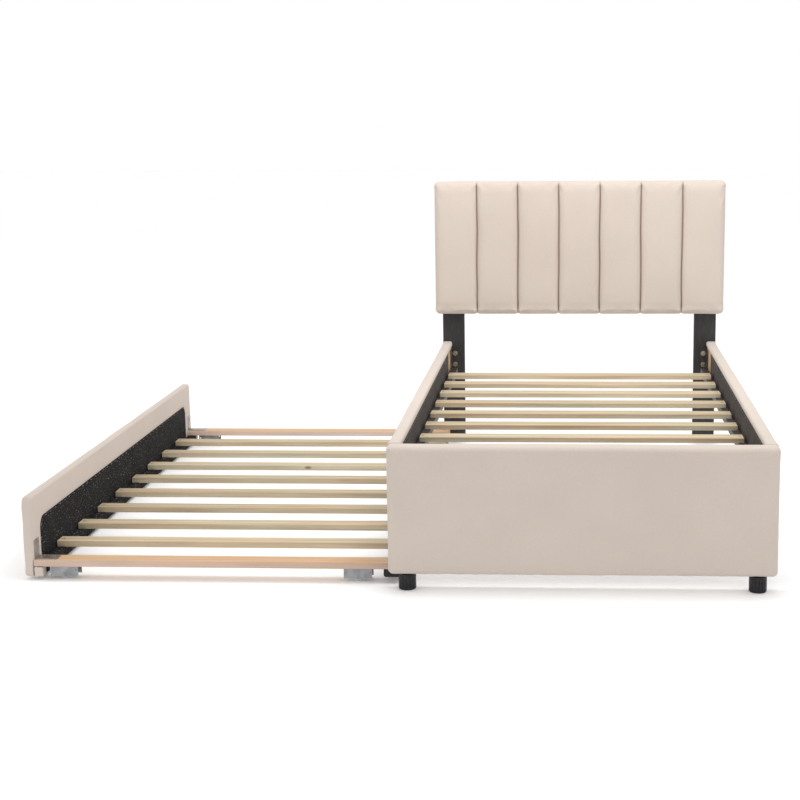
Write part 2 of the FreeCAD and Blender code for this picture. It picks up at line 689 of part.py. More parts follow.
panel_cover = rounded_panel("panel_cover_blank", (PANEL_OUTER, PANEL_INNER), panel_y,
                            ("panel_bottom", PANEL_TOP), "panel_corner")
round_over(panel_cover, "panel_cover_edge", "panel_edge",
           lambda edge, box: on_side(edge, box, "x-") and not on_side(edge, box, "z-"))
panel_space = rounded_panel("panel_space", PANEL_CORE, panel_core_y, panel_core_z, core_corner)
window_y = (f"{panel_y[0]} + panel_border_width", f"{panel_y[1]} - panel_border_width")
window_z = ("panel_bottom + bottom_wrap", f"{PANEL_TOP} - panel_border_width")
panel_window = rounded_panel("panel_window", (PANEL_CORE[1], PANEL_INNER), window_y, window_z, "lining_corner")
keep(cut("panel_cover_cut", panel_cover, [panel_space, panel_window]), "trundle_panel_cover")
keep(rounded_panel("panel_lining_blank", (PANEL_CORE[1], f"{PANEL_CORE[1]} + lining_thickness"), window_y, window_z,
                   "lining_corner"), "trundle_panel_lining")

# ---------------------------------------------------------------- trundle deck

DECK_LOW = "2 * wheel_radius + wheel_top_gap + caster_plate"
DECK_TOP = f"{DECK_LOW} + deck_thickness"
DECK_START = f"{PANEL_INNER} + deck_end_gap"
DECK_END = f"{PANEL_OUTER} + bed_width"
deck_screw_x = (f"{PANEL_INNER} + deck_ledge_width / 2", f"{DECK_END} - inner_bar_width / 2")
deck_count = SIZES["deck_slat_count"]
first_middle = f"({panel_y[0]} + end_rail_width / 2)"
deck_pitch = f"(({panel_y[1]} - {panel_y[0]} - end_rail_width) / {deck_count + 1})"
deck_middles = [f"{first_middle} + {i} * {deck_pitch}" for i in range(deck_count + 2)]
caster_x = (f"{PANEL_INNER} + caster_inset + caster_length / 2", f"{DECK_END} - caster_inner_inset - caster_length / 2")
caster_screw_x = [f"{middle} {sign} caster_screw_offset" for middle in caster_x for sign in ("-", "+")]

board("trundle_slat_ledge", (PANEL_INNER, f"{PANEL_INNER} + deck_ledge_width"), panel_y, DECK_LOW,
      "deck_ledge_height", [(deck_screw_x[0], middle) for middle in deck_middles], through=False)

bar = box_body("inner_bar_blank", (f"{DECK_END} - inner_bar_width", DECK_END), panel_y,
               (f"{DECK_LOW} - inner_bar_height", DECK_LOW))
round_over(bar, "inner_bar_rounding", "inner_bar_rounding",
           lambda edge, box: direction(edge) == "y" and on_side(edge, box, "z-"))
bar_holes = [
    rod(f"inner_bar_hole_{i}", (deck_screw_x[1], middle, DECK_LOW), SCREW_HOLE, "screw_bite",
        (0, 0, -1))
    for i, middle in enumerate(deck_middles, 1)
]
keep(cut("inner_bar_drilled", bar, bar_holes), "trundle_inner_bar")

deck_screws = []
for i, middle in enumerate(deck_middles):
    end = {0: "trundle_front_rail", deck_count + 1: "trundle_back_rail"}.get(i)
    half = "end_rail_width / 2" if end else "deck_slat_width / 2"
    places = [(x, middle) for x in deck_screw_x]
    deck_board = board(end or f"trundle_slat_{i}", (DECK_START, DECK_END), (f"{middle} - {half}", f"{middle} + {half}"),
                       DECK_TOP, "deck_thickness", places)
    if end:
        nodes.remove(deck_board)
        bores = [
            rod(f"{end}_caster_hole_{j}", (x, middle, DECK_LOW), SCREW_HOLE, "screw_bite",
                (0, 0, 1))
            for j, x in enumerate(caster_screw_x, 1)
        ]
        deck_board.Label = end + "_blank"
        keep(cut(end + "_drilled", deck_board, bores), end)
    for where, (x, y) in zip(("outer", "inner"), places):
        if end and where == "outer":
            continue
        deck_screws.append(wood_screw(f"deck_screw_{i}_{where}", x, y, DECK_TOP, "deck_thickness"))
keep(group("deck_screw_set", deck_screws), "trundle_slat_screws")

# ---------------------------------------------------------------- trundle corner brackets

corner_brackets = []
bracket_screws = []
for where, middle in (("front", deck_middles[0]), ("back", deck_middles[-1])):
    span_y = (f"{middle} - bracket_width / 2", f"{middle} + bracket_width / 2")
    upright = block(f"{where}_bracket_upright", (PANEL_INNER, f"{PANEL_INNER} + bracket_thickness"), span_y,
                    (DECK_TOP, f"{DECK_TOP} + bracket_rise"))
    foot = block(f"{where}_bracket_foot", (PANEL_INNER, f"{PANEL_INNER} + bracket_reach"), span_y,
                 (DECK_TOP, f"{DECK_TOP} + bracket_thickness"))
    screw_z = f"{DECK_TOP} + bracket_rise - bracket_screw_inset"
    hole_up = rod(f"{where}_bracket_hole_up", (PANEL_INNER, middle, screw_z), SCREW_HOLE,
                  "bracket_thickness", (1, 0, 0))
    hole_down = rod(f"{where}_bracket_hole_down", (deck_screw_x[0], middle, DECK_TOP), SCREW_HOLE,
                    "bracket_thickness", (0, 0, 1))
    corner_brackets.append(cut(f"{where}_bracket_cut", fuse(f"{where}_bracket_blank", [upright, foot]),
                               [hole_up, hole_down]))
    head = rod(f"{where}_upright_screw_head", (f"{PANEL_INNER} + bracket_thickness", middle, screw_z),
               "screw_head_radius", "screw_head_height", (1, 0, 0))
    shank = rod(f"{where}_upright_screw_shank", (PANEL_INNER, middle, screw_z), "screw_radius",
                "bracket_thickness + 1", (1, 0, 0))
    bracket_screws.append(fuse(f"{where}_upright_screw", [head, shank]))
    head = rod(f"{where}_foot_screw_head", (deck_screw_x[0], middle, f"{DECK_TOP} + bracket_thickness"),
               "screw_head_radius", "screw_head_height", (0, 0, 1))
    shank = rod(f"{where}_foot_screw_shank", (deck_screw_x[0], middle, f"{DECK_TOP} + bracket_thickness + 1"),
                "screw_radius", "deck_thickness + bracket_thickness + screw_bite", (0, 0, -1))
    bracket_screws.append(fuse(f"{where}_foot_screw", [head, shank]))
keep(group("corner_bracket_pair", corner_brackets), "trundle_corner_brackets")
keep(group("bracket_screw_set", bracket_screws), "trundle_bracket_screws")

# ---------------------------------------------------------------- casters

WALL_LOW = "caster_wall_low"
WHEEL_WIDTH = "(caster_width - 2 * caster_plate - 2 * wheel_side_gap)"

caster_brackets = []
caster_axles = []
caster_screws = []
for x_name, middle_x in zip(("outer", "inner"), caster_x):
    for y_name, middle_y in (("front", deck_middles[0]), ("back", deck_middles[-1])):
        name = f"{x_name}_{y_name}"
        span_x = (f"{middle_x} - caster_length / 2", f"{middle_x} + caster_length / 2")
        span_y = (f"{middle_y} - caster_width / 2", f"{middle_y} + caster_width / 2")
        plate = block(f"{name}_plate", span_x, span_y, (f"{DECK_LOW} - caster_plate", DECK_LOW))
        solids = [plate]
        tools = []
        for wall_name, wall_y in (("near", (span_y[0], f"{span_y[0]} + caster_plate")),
                                  ("far", (f"{span_y[1]} - caster_plate", span_y[1]))):
            solids.append(block(f"{name}_{wall_name}_wall", span_x, wall_y, (WALL_LOW, DECK_LOW)))
            solids.append(rod(f"{name}_{wall_name}_ear", (middle_x, wall_y[0], "wheel_radius"), "ear_radius",
                              "caster_plate", (0, 1, 0)))
            for sign in ("-", "+"):
                hole_at = (f"{middle_x} {sign} wall_hole_offset", wall_y[0], f"{DECK_LOW} - wall_hole_drop")
                tools.append(rod(f"{name}_{wall_name}_hole_{'left' if sign == '-' else 'right'}", hole_at,
                                 "wall_hole_radius", "caster_plate", (0, 1, 0)))
        tools.append(rod(f"{name}_axle_hole", (middle_x, span_y[0], "wheel_radius"), "axle_radius + axle_gap",
                         "caster_width", (0, 1, 0)))
        for sign in ("-", "+"):
            screw_at = (f"{middle_x} {sign} caster_screw_offset", middle_y, f"{DECK_LOW} - caster_plate")
            tools.append(rod(f"{name}_plate_hole_{'left' if sign == '-' else 'right'}", screw_at,
                             SCREW_HOLE, "caster_plate", (0, 0, 1)))
            end = "left" if sign == "-" else "right"
            head = rod(f"{name}_screw_head_{end}", screw_at, "screw_head_radius", "screw_head_height", (0, 0, -1))
            shank = rod(f"{name}_screw_shank_{end}", screw_at, "screw_radius", "caster_plate + screw_bite - 1",
                        (0, 0, 1))
            caster_screws.append(fuse(f"{name}_screw_{end}", [head, shank]))
        caster_brackets.append(cut(f"{name}_bracket", fuse(f"{name}_bracket_blank", solids), tools))

        pin = rod(f"{name}_pin", (middle_x, span_y[0], "wheel_radius"), "axle_radius", "caster_width", (0, 1, 0))
        near = rod(f"{name}_near_rivet", (middle_x, span_y[0], "wheel_radius"), "rivet_radius", "rivet_height",
                   (0, -1, 0))
        far = rod(f"{name}_far_rivet", (middle_x, span_y[1], "wheel_radius"), "rivet_radius", "rivet_height",
                  (0, 1, 0))
        caster_axles.append(fuse(f"{name}_axle", [pin, near, far]))

        wheel_name = f"wheel_{name}"
        wheel = doc.addObject("PartDesign::Body", wheel_name)
        profile = new_sketch(wheel, wheel_name + "_outline", "XZ_Plane")
        draw_circle(profile, "wheel_radius")
        extrude(wheel, "Pad", wheel_name + "_pad", profile, WHEEL_WIDTH)
        rim = SIZES["wheel_radius"] - 1
        round_over(wheel, wheel_name + "_rim", "wheel_rounding",
                   lambda edge, box: edge.BoundBox.XLength > rim and (on_side(edge, box, "y-")
                                                                      or on_side(edge, box, "y+")))
        solid = wheel.Shape.Volume
        bore = new_sketch(wheel, wheel_name + "_bore", "XZ_Plane")
        draw_circle(bore, "axle_radius + axle_gap")
        extrude(wheel, "Pocket", wheel_name + "_bored", bore, f"{WHEEL_WIDTH} + 1", Reversed=True)
        if wheel.Shape.Volume > solid - 10:
            raise RuntimeError(wheel_name + " has no bore")
        place(wheel, middle_x, f"{middle_y} + {WHEEL_WIDTH} / 2", "wheel_radius")
        keep(wheel, wheel_name)

keep(group("caster_bracket_set", caster_brackets), "caster_brackets")
keep(group("caster_axle_set", caster_axles), "caster_axles")
keep(group("caster_screw_set", caster_screws), "caster_screws")

# ---------------------------------------------------------------- checks and files

doc.recompute()
for item in doc.Objects:
    if "Invalid" in item.State or "Error" in item.State:
        raise RuntimeError(f"{item.Label} did not build: {item.State}")

os.makedirs("parts", exist_ok=True)
for node in nodes:
    if node.Shape.isNull() or not node.Shape.isValid() or not node.Shape.Solids:
        raise RuntimeError(f"{node.Label} has no valid solid")
for node in nodes:
    node.Shape.exportStep(f"parts/{node.Label}.step")
print(len(nodes), "nodes written")
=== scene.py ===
import math

import bmesh
import bpy
from mathutils import Matrix, Vector, noise


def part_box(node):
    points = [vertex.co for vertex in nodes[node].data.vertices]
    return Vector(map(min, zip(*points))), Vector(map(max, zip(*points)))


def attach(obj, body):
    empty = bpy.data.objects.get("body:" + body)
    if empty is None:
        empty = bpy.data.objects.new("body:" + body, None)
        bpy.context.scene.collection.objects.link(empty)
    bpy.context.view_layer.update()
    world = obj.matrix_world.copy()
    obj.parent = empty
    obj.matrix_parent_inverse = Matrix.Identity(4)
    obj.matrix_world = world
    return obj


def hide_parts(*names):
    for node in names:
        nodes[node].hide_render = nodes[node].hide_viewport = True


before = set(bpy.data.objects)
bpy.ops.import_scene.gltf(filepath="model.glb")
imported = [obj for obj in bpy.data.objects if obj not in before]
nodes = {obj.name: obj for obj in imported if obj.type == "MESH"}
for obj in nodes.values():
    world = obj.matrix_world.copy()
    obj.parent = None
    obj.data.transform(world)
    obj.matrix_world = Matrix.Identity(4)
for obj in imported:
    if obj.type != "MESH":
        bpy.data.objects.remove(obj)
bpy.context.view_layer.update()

# ------------------------------------------------------------------ room
# The bed stands on a plain pale studio floor in soft light. The view is from beyond the
# footboard, a little above a standing person's chest, with a long lens.

HALL_LIGHT = (1.0, 1.0, 1.0, 1.0)
HALL_STRENGTH = 1.0
LENS = 71.44
SIDE_SHIFT = -0.1106
DISTANCE = 4.173
EYE_HEIGHT = 1.2986
EYE_OFFSET = -0.0323
LOOK_DOWN = 0.1808
LOOK_LEFT = math.radians(3.0)
LEAN = 0.0067

foot_low, foot_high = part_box("footboard_cover")
bed_middle = (foot_low.x + foot_high.x) / 2
bed_front = foot_low.y

forward = Vector((-math.sin(LOOK_LEFT), math.cos(LOOK_LEFT), 0.0))
right = Vector((math.cos(LOOK_LEFT), math.sin(LOOK_LEFT), 0.0))
level_up = Vector((0.0, 0.0, 1.0))
look = forward * math.cos(LOOK_DOWN) - level_up * math.sin(LOOK_DOWN)
up = forward * math.sin(LOOK_DOWN) + level_up * math.cos(LOOK_DOWN)
leaned_right = right * math.cos(LEAN) - up * math.sin(LEAN)
leaned_up = right * math.sin(LEAN) + up * math.cos(LEAN)

camera_data = bpy.data.cameras.new("view")
camera_data.sensor_width = 36.0
camera_data.lens = LENS
camera_data.shift_x = SIDE_SHIFT
camera = bpy.data.objects.new("view", camera_data)
turn = Matrix((leaned_right, leaned_up, -look)).transposed()
place = Vector((bed_middle + EYE_OFFSET, bed_front - DISTANCE, EYE_HEIGHT))
camera.matrix_world = Matrix.Translation(place) @ turn.to_4x4()
bpy.context.scene.collection.objects.link(camera)
bpy.context.scene.camera = camera
bpy.context.scene.view_settings.view_transform = "Standard"


def soft_box(name, where, aim, width, height, power):
    """A flat lamp, width by height, that points at a place."""
    data = bpy.data.lights.new(name, "AREA")
    data.shape = "RECTANGLE"
    data.size = width
    data.size_y = height
    data.energy = power
    lamp = bpy.data.objects.new(name, data)
    lamp.location = where
    lamp.rotation_euler = (Vector(aim) - Vector(where)).to_track_quat("-Z", "Y").to_euler()
    bpy.context.scene.collection.objects.link(lamp)


OVERHEAD = Vector((0.0, 0.0, 4.5))
OVER_BED = Vector((bed_middle, bed_front + 0.5, 2.4))
HEAD_END = Vector((bed_middle, bed_front + 1.95, 0.75))
FOOT_END = Vector((bed_middle, bed_front, 0.3))
STRIP_DISTANCE = 3.5
STRIP_RISE = 0.1
soft_box("overhead", OVERHEAD, (0.0, 0.0, 0.0), width=4.5, height=4.5, power=30.0)
soft_box("over_bed", OVER_BED, HEAD_END, width=1.2, height=1.2, power=32.0)
for name, swing in (("left_strip", -60.0), ("right_strip", 38.0)):
    away = Vector((math.sin(math.radians(swing)), -math.cos(math.radians(swing)), STRIP_RISE))
    strip_place = FOOT_END + away * STRIP_DISTANCE
    soft_box(name, strip_place, FOOT_END, width=0.16, height=1.4, power=6.0)

world = bpy.data.worlds.new("hall")
bpy.context.scene.world = world
world.use_nodes = True
world.node_tree.nodes["Background"].inputs["Color"].default_value = HALL_LIGHT
world.node_tree.nodes["Background"].inputs["Strength"].default_value = HALL_STRENGTH


class Signal:
    """A value or colour in a material's nodes, so that patterns add and multiply like numbers."""

    def __init__(self, tree, socket):
        self.tree = tree
        self.socket = socket

    def node(self, kind, settings=None, inputs=None, output=0):
        """Adds a node: its settings first, then values or links for its sockets."""
        made = self.tree.nodes.new("ShaderNode" + kind)
        for name, value in (settings or {}).items():
            setattr(made, name, value)
        for name, value in (inputs or {}).items():
            if isinstance(value, Signal):
                self.tree.links.new(value.socket, made.inputs[name])
            else:
                made.inputs[name].default_value = value
        return Signal(self.tree, made.outputs[output])

    def math(self, operation, *values):
        """This value and any others put through one Math node."""
        return self.node("Math", {"operation": operation}, dict(enumerate((self, *values))))

    def __add__(self, other):
        return self.math("ADD", other)

    __radd__ = __add__

    def __mul__(self, other):
        return self.math("MULTIPLY", other)

    __rmul__ = __mul__

    def __rsub__(self, other):
        return self * -1.0 + other

    def between(self, low, high, start=0.0, end=1.0):
        """This value carried smoothly from one range to another."""
        values = {"Value": self, "From Min": low, "From Max": high, "To Min": start, "To Max": end}
        return self.node("MapRange", {"interpolation_type": "SMOOTHSTEP"}, values)

    def tint(self, first, second):
        """A colour that goes from the first to the second as this value goes from 0 to 1."""
        return self.node("Mix", {"data_type": "RGBA"}, {0: self, 6: first, 7: second}, output=2)

    def noise(self, scale, detail=2.0, roughness=0.5, stretch=(1.0, 1.0, 1.0)):
        """Smooth noise at this place, with features of about one over scale metres."""
        place = self.node("Mapping", None, {"Vector": self, "Scale": stretch})
        values = {"Vector": place, "Scale": scale, "Detail": detail, "Roughness": roughness}
        return place.node("TexNoise", None, values)

    def times(self, other):
        """This colour multiplied by another."""
        settings = {"data_type": "RGBA", "blend_type": "MULTIPLY"}
        return self.node("Mix", settings, {0: 1.0, 6: self, 7: other}, output=2)

    def bump(self, strength, distance):
        """A normal raised by this height, over a distance in metres."""
        values = {"Height": self, "Strength": strength, "Distance": distance}
        return self.node("Bump", None, values)


def new_finish(name):
    """An empty material and the place of each point in it."""
    material = bpy.data.materials.new(name)
    material.use_nodes = True
    tree = material.node_tree
    coordinates = tree.nodes.new("ShaderNodeTexCoord")
    return material, Signal(tree, coordinates.outputs["Object"])


def set_finish(material, **sockets):
    """Gives the material's shader its values and links."""
    shader = material.node_tree.nodes["Principled BSDF"]
    for name, value in sockets.items():
        socket = shader.inputs[name.replace("_", " ")]
        if isinstance(value, Signal):
            material.node_tree.links.new(value.socket, socket)
        else:
            socket.default_value = value


FLOOR_PALE = (0.90, 0.90, 0.90, 1)
FLOOR_WHITE = (0.93, 0.93, 0.93, 1)
hall_floor, spot = new_finish("hall_floor")
scuffs = spot.noise(3.0, detail=5.0)
set_finish(
    hall_floor,
    Base_Color=scuffs.tint(FLOOR_PALE, FLOOR_WHITE),
    Roughness=scuffs.between(0.2, 0.8, 0.55, 0.7),
    Specular_IOR_Level=0.2,
    Emission_Color=(1.0, 1.0, 1.0, 1.0),
    Emission_Strength=0.08,
)
bpy.ops.mesh.primitive_plane_add(size=60.0, location=(0.0, 0.0, 0.0))
floor = bpy.context.object
floor.name = "hall_floor"
floor.data.materials.append(hall_floor)

# ------------------------------------------------------------------ headboard cushion
# Seven foam channels under a short-pile velvet, with each seam pulled back to the board. The
# cloth wraps round the edges and is stapled behind, which draws a soft fold along the bottom.

VELVET_LIGHT = (0.550, 0.478, 0.423, 1)
VELVET_DEEP = (0.486, 0.416, 0.366, 1)
# Painted shade, with a little dust: the brown that the velvet darkens toward at the bottom of each seam
# crease.
CREASE_SHADE_BROWN = (0.15, 0.095, 0.065, 1)


def velvet_finish(name, light, deep):
    """A short-pile velvet: a soft cast of light and deep, a fine pile and a faint weave."""
    material, spot = new_finish(name)
    cloudy = spot.noise(5.0, detail=3.0)
    pile = spot.noise(900.0, detail=2.0)
    fleck = spot.noise(380.0, detail=1.0)
    weave = 0.0
    for direction in ("X", "Y", "Z"):
        settings = {"wave_type": "BANDS", "bands_direction": direction}
        threads = spot.node("TexWave", settings, {"Vector": spot, "Scale": 260.0})
        weave = threads * 0.33 + weave
    tone = cloudy.between(0.3, 0.7) * 0.3 + pile * 0.4 + fleck.between(0.42, 0.62) * 0.3
    height = pile * 0.6 + weave * 0.25 + fleck * 0.4
    # Painted shade: the velvet darkens toward brown where the crease attribute marks a deep seam, with
    # a little dust.
    crease_shade = spot.node("Attribute", {"attribute_name": "crease_shade"}, output="Fac")
    cloth = tone.tint(deep, light)
    set_finish(
        material,
        Base_Color=crease_shade.between(0.25, 1.0, 0.0, 0.85).tint(cloth, CREASE_SHADE_BROWN),
        Roughness=pile.between(0.2, 0.8, 0.82, 0.95),
        Sheen_Weight=0.15,
        Sheen_Roughness=0.45,
        Specular_IOR_Level=0.25,
        Normal=height.bump(0.35, 0.0006),
    )
    return material


velvet = velvet_finish("cream_velvet", VELVET_LIGHT, VELVET_DEEP)


def grid_lines(low, high, radius, cell, extra):
    """Places along one side of a padded block: close together round both edges, then even."""
    turns = [radius * (1.0 - math.tan(math.radians(angle))) for angle in (45, 36, 27, 18, 9, 0)]
    fixed = [low + turn for turn in turns] + [high - turn for turn in turns] + list(extra)
    count = max(1, round((high - low - 2 * radius) / cell))
    even = [low + radius + (high - low - 2 * radius) * i / count for i in range(1, count)]
    clear = cell * 0.4
    open_places = [place for place in even if min(abs(place - other) for other in fixed) > clear]
    return sorted({round(place, 6) for place in fixed + open_places})


def padded_block(low, high, radius, cell, extra_x=(), extra_y=(), extra_z=()):
    """A closed block of quads with round edges, in a new bmesh."""
    extras = (extra_x, extra_y, extra_z)
    grids = [grid_lines(low[a], high[a], radius, cell, extras[a]) for a in range(3)]
    bm = bmesh.new()
    known = {}

    def corner(index):
        """The vertex at a place in the three grids, made once and pulled in round the edges."""
        if index not in known:
            flat = Vector([grids[a][index[a]] for a in range(3)])
            core = Vector([min(max(flat[a], low[a] + radius), high[a] - radius) for a in range(3)])
            known[index] = bm.verts.new(core + (flat - core).normalized() * radius)
        return known[index]

    ends = [len(grid) - 1 for grid in grids]
    for axis in range(3):
        first, second = [a for a in range(3) if a != axis]
        for side in (0, ends[axis]):
            for i in range(ends[first]):
                for j in range(ends[second]):
                    loop = []
                    for di, dj in ((0, 0), (1, 0), (1, 1), (0, 1)):
                        index = [0, 0, 0]
                        index[axis] = side
                        index[first] = i + di
                        index[second] = j + dj
                        loop.append(corner(tuple(index)))
                    bm.faces.new(loop)
    bmesh.ops.recalc_face_normals(bm, faces=bm.faces)
    bm.normal_update()
    bm.verts.index_update()
    return bm


def finished(name, bm, material, body):
    """A bmesh made into a smooth piece of the object that moves with a body."""
    mesh = bpy.data.meshes.new(name)
    bm.to_mesh(mesh)
    bm.free()
    for polygon in mesh.polygons:
        polygon.use_smooth = True
    mesh.materials.append(material)
    piece = bpy.data.objects.new(name, mesh)
    bpy.context.scene.collection.objects.link(piece)
    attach(piece, body)
    return piece


def ripple(point, scale, seed):
    """A smooth random height between about -1 and 1 at a point, another one for each seed."""
    return noise.noise(Vector(point) * scale + Vector((seed, seed * 0.7, -seed)))


def plump(piece, held, pressure, cap, frames=16):
    """Swells a closed piece with simulated cloth, except at its held points.

    No point moves further than the cap, in metres.
    """
    start = [vert.co.copy() for vert in piece.data.vertices]
    group = piece.vertex_groups.new(name="held")
    group.add(held, 1.0, "REPLACE")
    cloth = piece.modifiers.new("cloth", "CLOTH")
    settings = cloth.settings
    settings.quality = 5
    settings.mass = 0.3
    settings.tension_stiffness = 18
    settings.compression_stiffness = 18
    settings.shear_stiffness = 6
    settings.bending_stiffness = 1.5
    settings.use_pressure = True
    settings.uniform_pressure_force = pressure
    settings.vertex_group_mass = "held"
    settings.effector_weights.gravity = 0.0
    cloth.point_cache.frame_start = 1
    cloth.point_cache.frame_end = frames
    for number in range(1, frames + 1):
        bpy.context.scene.frame_set(number)
    shaped = piece.evaluated_get(bpy.context.evaluated_depsgraph_get())
    ends = [vert.co.copy() for vert in shaped.data.vertices]
    piece.modifiers.remove(cloth)
    piece.vertex_groups.remove(group)
    bpy.context.scene.frame_set(1)
    for vert, first, last in zip(piece.data.vertices, start, ends):
        step = last - first
        if step.length > cap:
            step *= cap / step.length
        vert.co = first + step


def smoothed(piece):
    """Finishes a piece with one level of subdivision."""
    finer = piece.modifiers.new("finer", "SUBSURF")
    finer.levels = 1
    finer.render_levels = 1


head_low, head_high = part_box("headboard_cushion")
END_CHANNEL = 0.164
SEAM_COUNT = 6
SEAM_DEPTH = 0.0125
SEAM_EDGE_DEPTH = 0.0035
SEAM_REACH = 0.0125
CHANNEL_CROWN = 0.0035
HEAD_ROUNDING = 0.019
SEAM_WANDER = 0.0016
WANDER_REACH = 0.03
WANDER_FADE = 0.05
DENT = 0.0014
FOLD_DEPTH = 0.0030
FOLD_HEIGHT = 0.028
FOLD_WIDTH = 0.009
WOOD_SEAT = 0.0003
HEAD_CELL = 0.0125
middle_channel = (head_high.x - head_low.x - 2 * END_CHANNEL) / (SEAM_COUNT - 1)
seams = [head_low.x + END_CHANNEL + middle_channel * i for i in range(SEAM_COUNT)]
seam_steps = (0.0, 0.0008, 0.0025, 0.005, 0.0085, 0.0125, 0.02)
seam_lines = {seam + side * step for seam in seams for step in seam_steps for side in (-1, 1)}
borders = [head_low.x, *seams, head_high.x]

back_edge = head_high.y - WOOD_SEAT
round_high = Vector((head_high.x, head_high.y + HEAD_ROUNDING, head_high.z))
bm = padded_block(head_low, round_high, HEAD_ROUNDING, HEAD_CELL, extra_x=seam_lines)
for vert in bm.verts:
    vert.co.y = min(vert.co.y, back_edge)
bm.normal_update()


def seam_pull(x):
    """How far a seam draws the cloth in at a place along the headboard, from 0 to 1."""
    gap = min(abs(x - seam) for seam in seams)
    if gap >= SEAM_REACH:
        return 0.0
    rise = 1.0 - gap / SEAM_REACH
    return 1.0 - math.sqrt(1.0 - rise * rise)


def seam_wander(seam, z):
    """How far a hand-guided seam strays from its straight line at a height."""
    ends = min(1.0, (z - head_low.z) / WANDER_FADE, (head_high.z - z) / WANDER_FADE)
    stray = ripple((seam * 5.0, 0.0, z), scale=7.0, seed=1.3)
    return SEAM_WANDER * max(0.0, ends) * stray * 2.0


CUSHION_FRONT = 0.022
SEAM_HELD = 0.0006
BACK_FACE = 0.002
moves = {}
crease_shade_values = {}
held = []
for vert in bm.verts:
    point = vert.co
    seam = min(seams, key=lambda place: abs(point.x - place))
    gap = abs(point.x - seam)
    if gap < SEAM_HELD or point.y > head_low.y + CUSHION_FRONT:
        held.append(vert.index)
    if point.y > back_edge - BACK_FACE:
        continue
    cell = next(i for i in range(len(borders) - 1) if point.x <= borders[i + 1] + 1e-6)
    across = (point.x - borders[cell]) / (borders[cell + 1] - borders[cell])
    rise = (point.z - head_low.z) / (head_high.z - head_low.z)
    facing = max(0.0, -vert.normal.y)
    depth = SEAM_EDGE_DEPTH + (SEAM_DEPTH - SEAM_EDGE_DEPTH) * facing
    crown = CHANNEL_CROWN * 4 * across * (1 - across) * facing * min(1.0, 6 * rise, 6 * (1 - rise))
    dent = DENT * ripple((point.x, 0.0, point.z * 0.6), scale=9.0, seed=3.1) * facing
    from_fold = (point.z - head_low.z - FOLD_HEIGHT) / FOLD_WIDTH
    fold = FOLD_DEPTH * math.exp(-(from_fold**2)) * facing
    wander = seam_wander(seam, point.z) * math.exp(-((gap / WANDER_REACH) ** 2)) * facing
    swell = crown - seam_pull(point.x) * depth + dent - fold
    moves[vert] = vert.normal * swell + Vector((wander, 0, 0))
    # Painted shade: how deep each point lies in a seam, which darkens the velvet's colour there.
    crease_shade_values[vert.index] = seam_pull(point.x) * (0.25 + 0.75 * facing)
for vert, move in moves.items():
    vert.co += move

cushion = finished("headboard_velvet", bm, velvet, "bed")
# This attribute carries the painted seam shade to the velvet's colour.
shade = cushion.data.attributes.new("crease_shade", "FLOAT", "POINT")
for index, value in crease_shade_values.items():
    shade.data[index].value = value
plump(cushion, held, pressure=3.0, cap=0.003)
smoothed(cushion)
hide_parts("headboard_cushion")

# ------------------------------------------------------------------ headboard seam thread
# Brown nylon thread that sews each seam through the foam: one small stitch after another along
# the bottom of the crease, from the lower edge of the headboard to the upper one.

THREAD_BROWN = (0.10, 0.062, 0.042, 1)
THREAD_FADED = (0.16, 0.11, 0.08, 1)
thread, spot = new_finish("seam_thread")
strands = spot.noise(1400.0, detail=2.0)
set_finish(
    thread,
    Base_Color=strands.tint(THREAD_BROWN, THREAD_FADED),
    Roughness=strands.between(0.2, 0.8, 0.6, 0.8),
    Normal=strands.bump(0.4, 0.0002),
)


SWING_SEED = 7


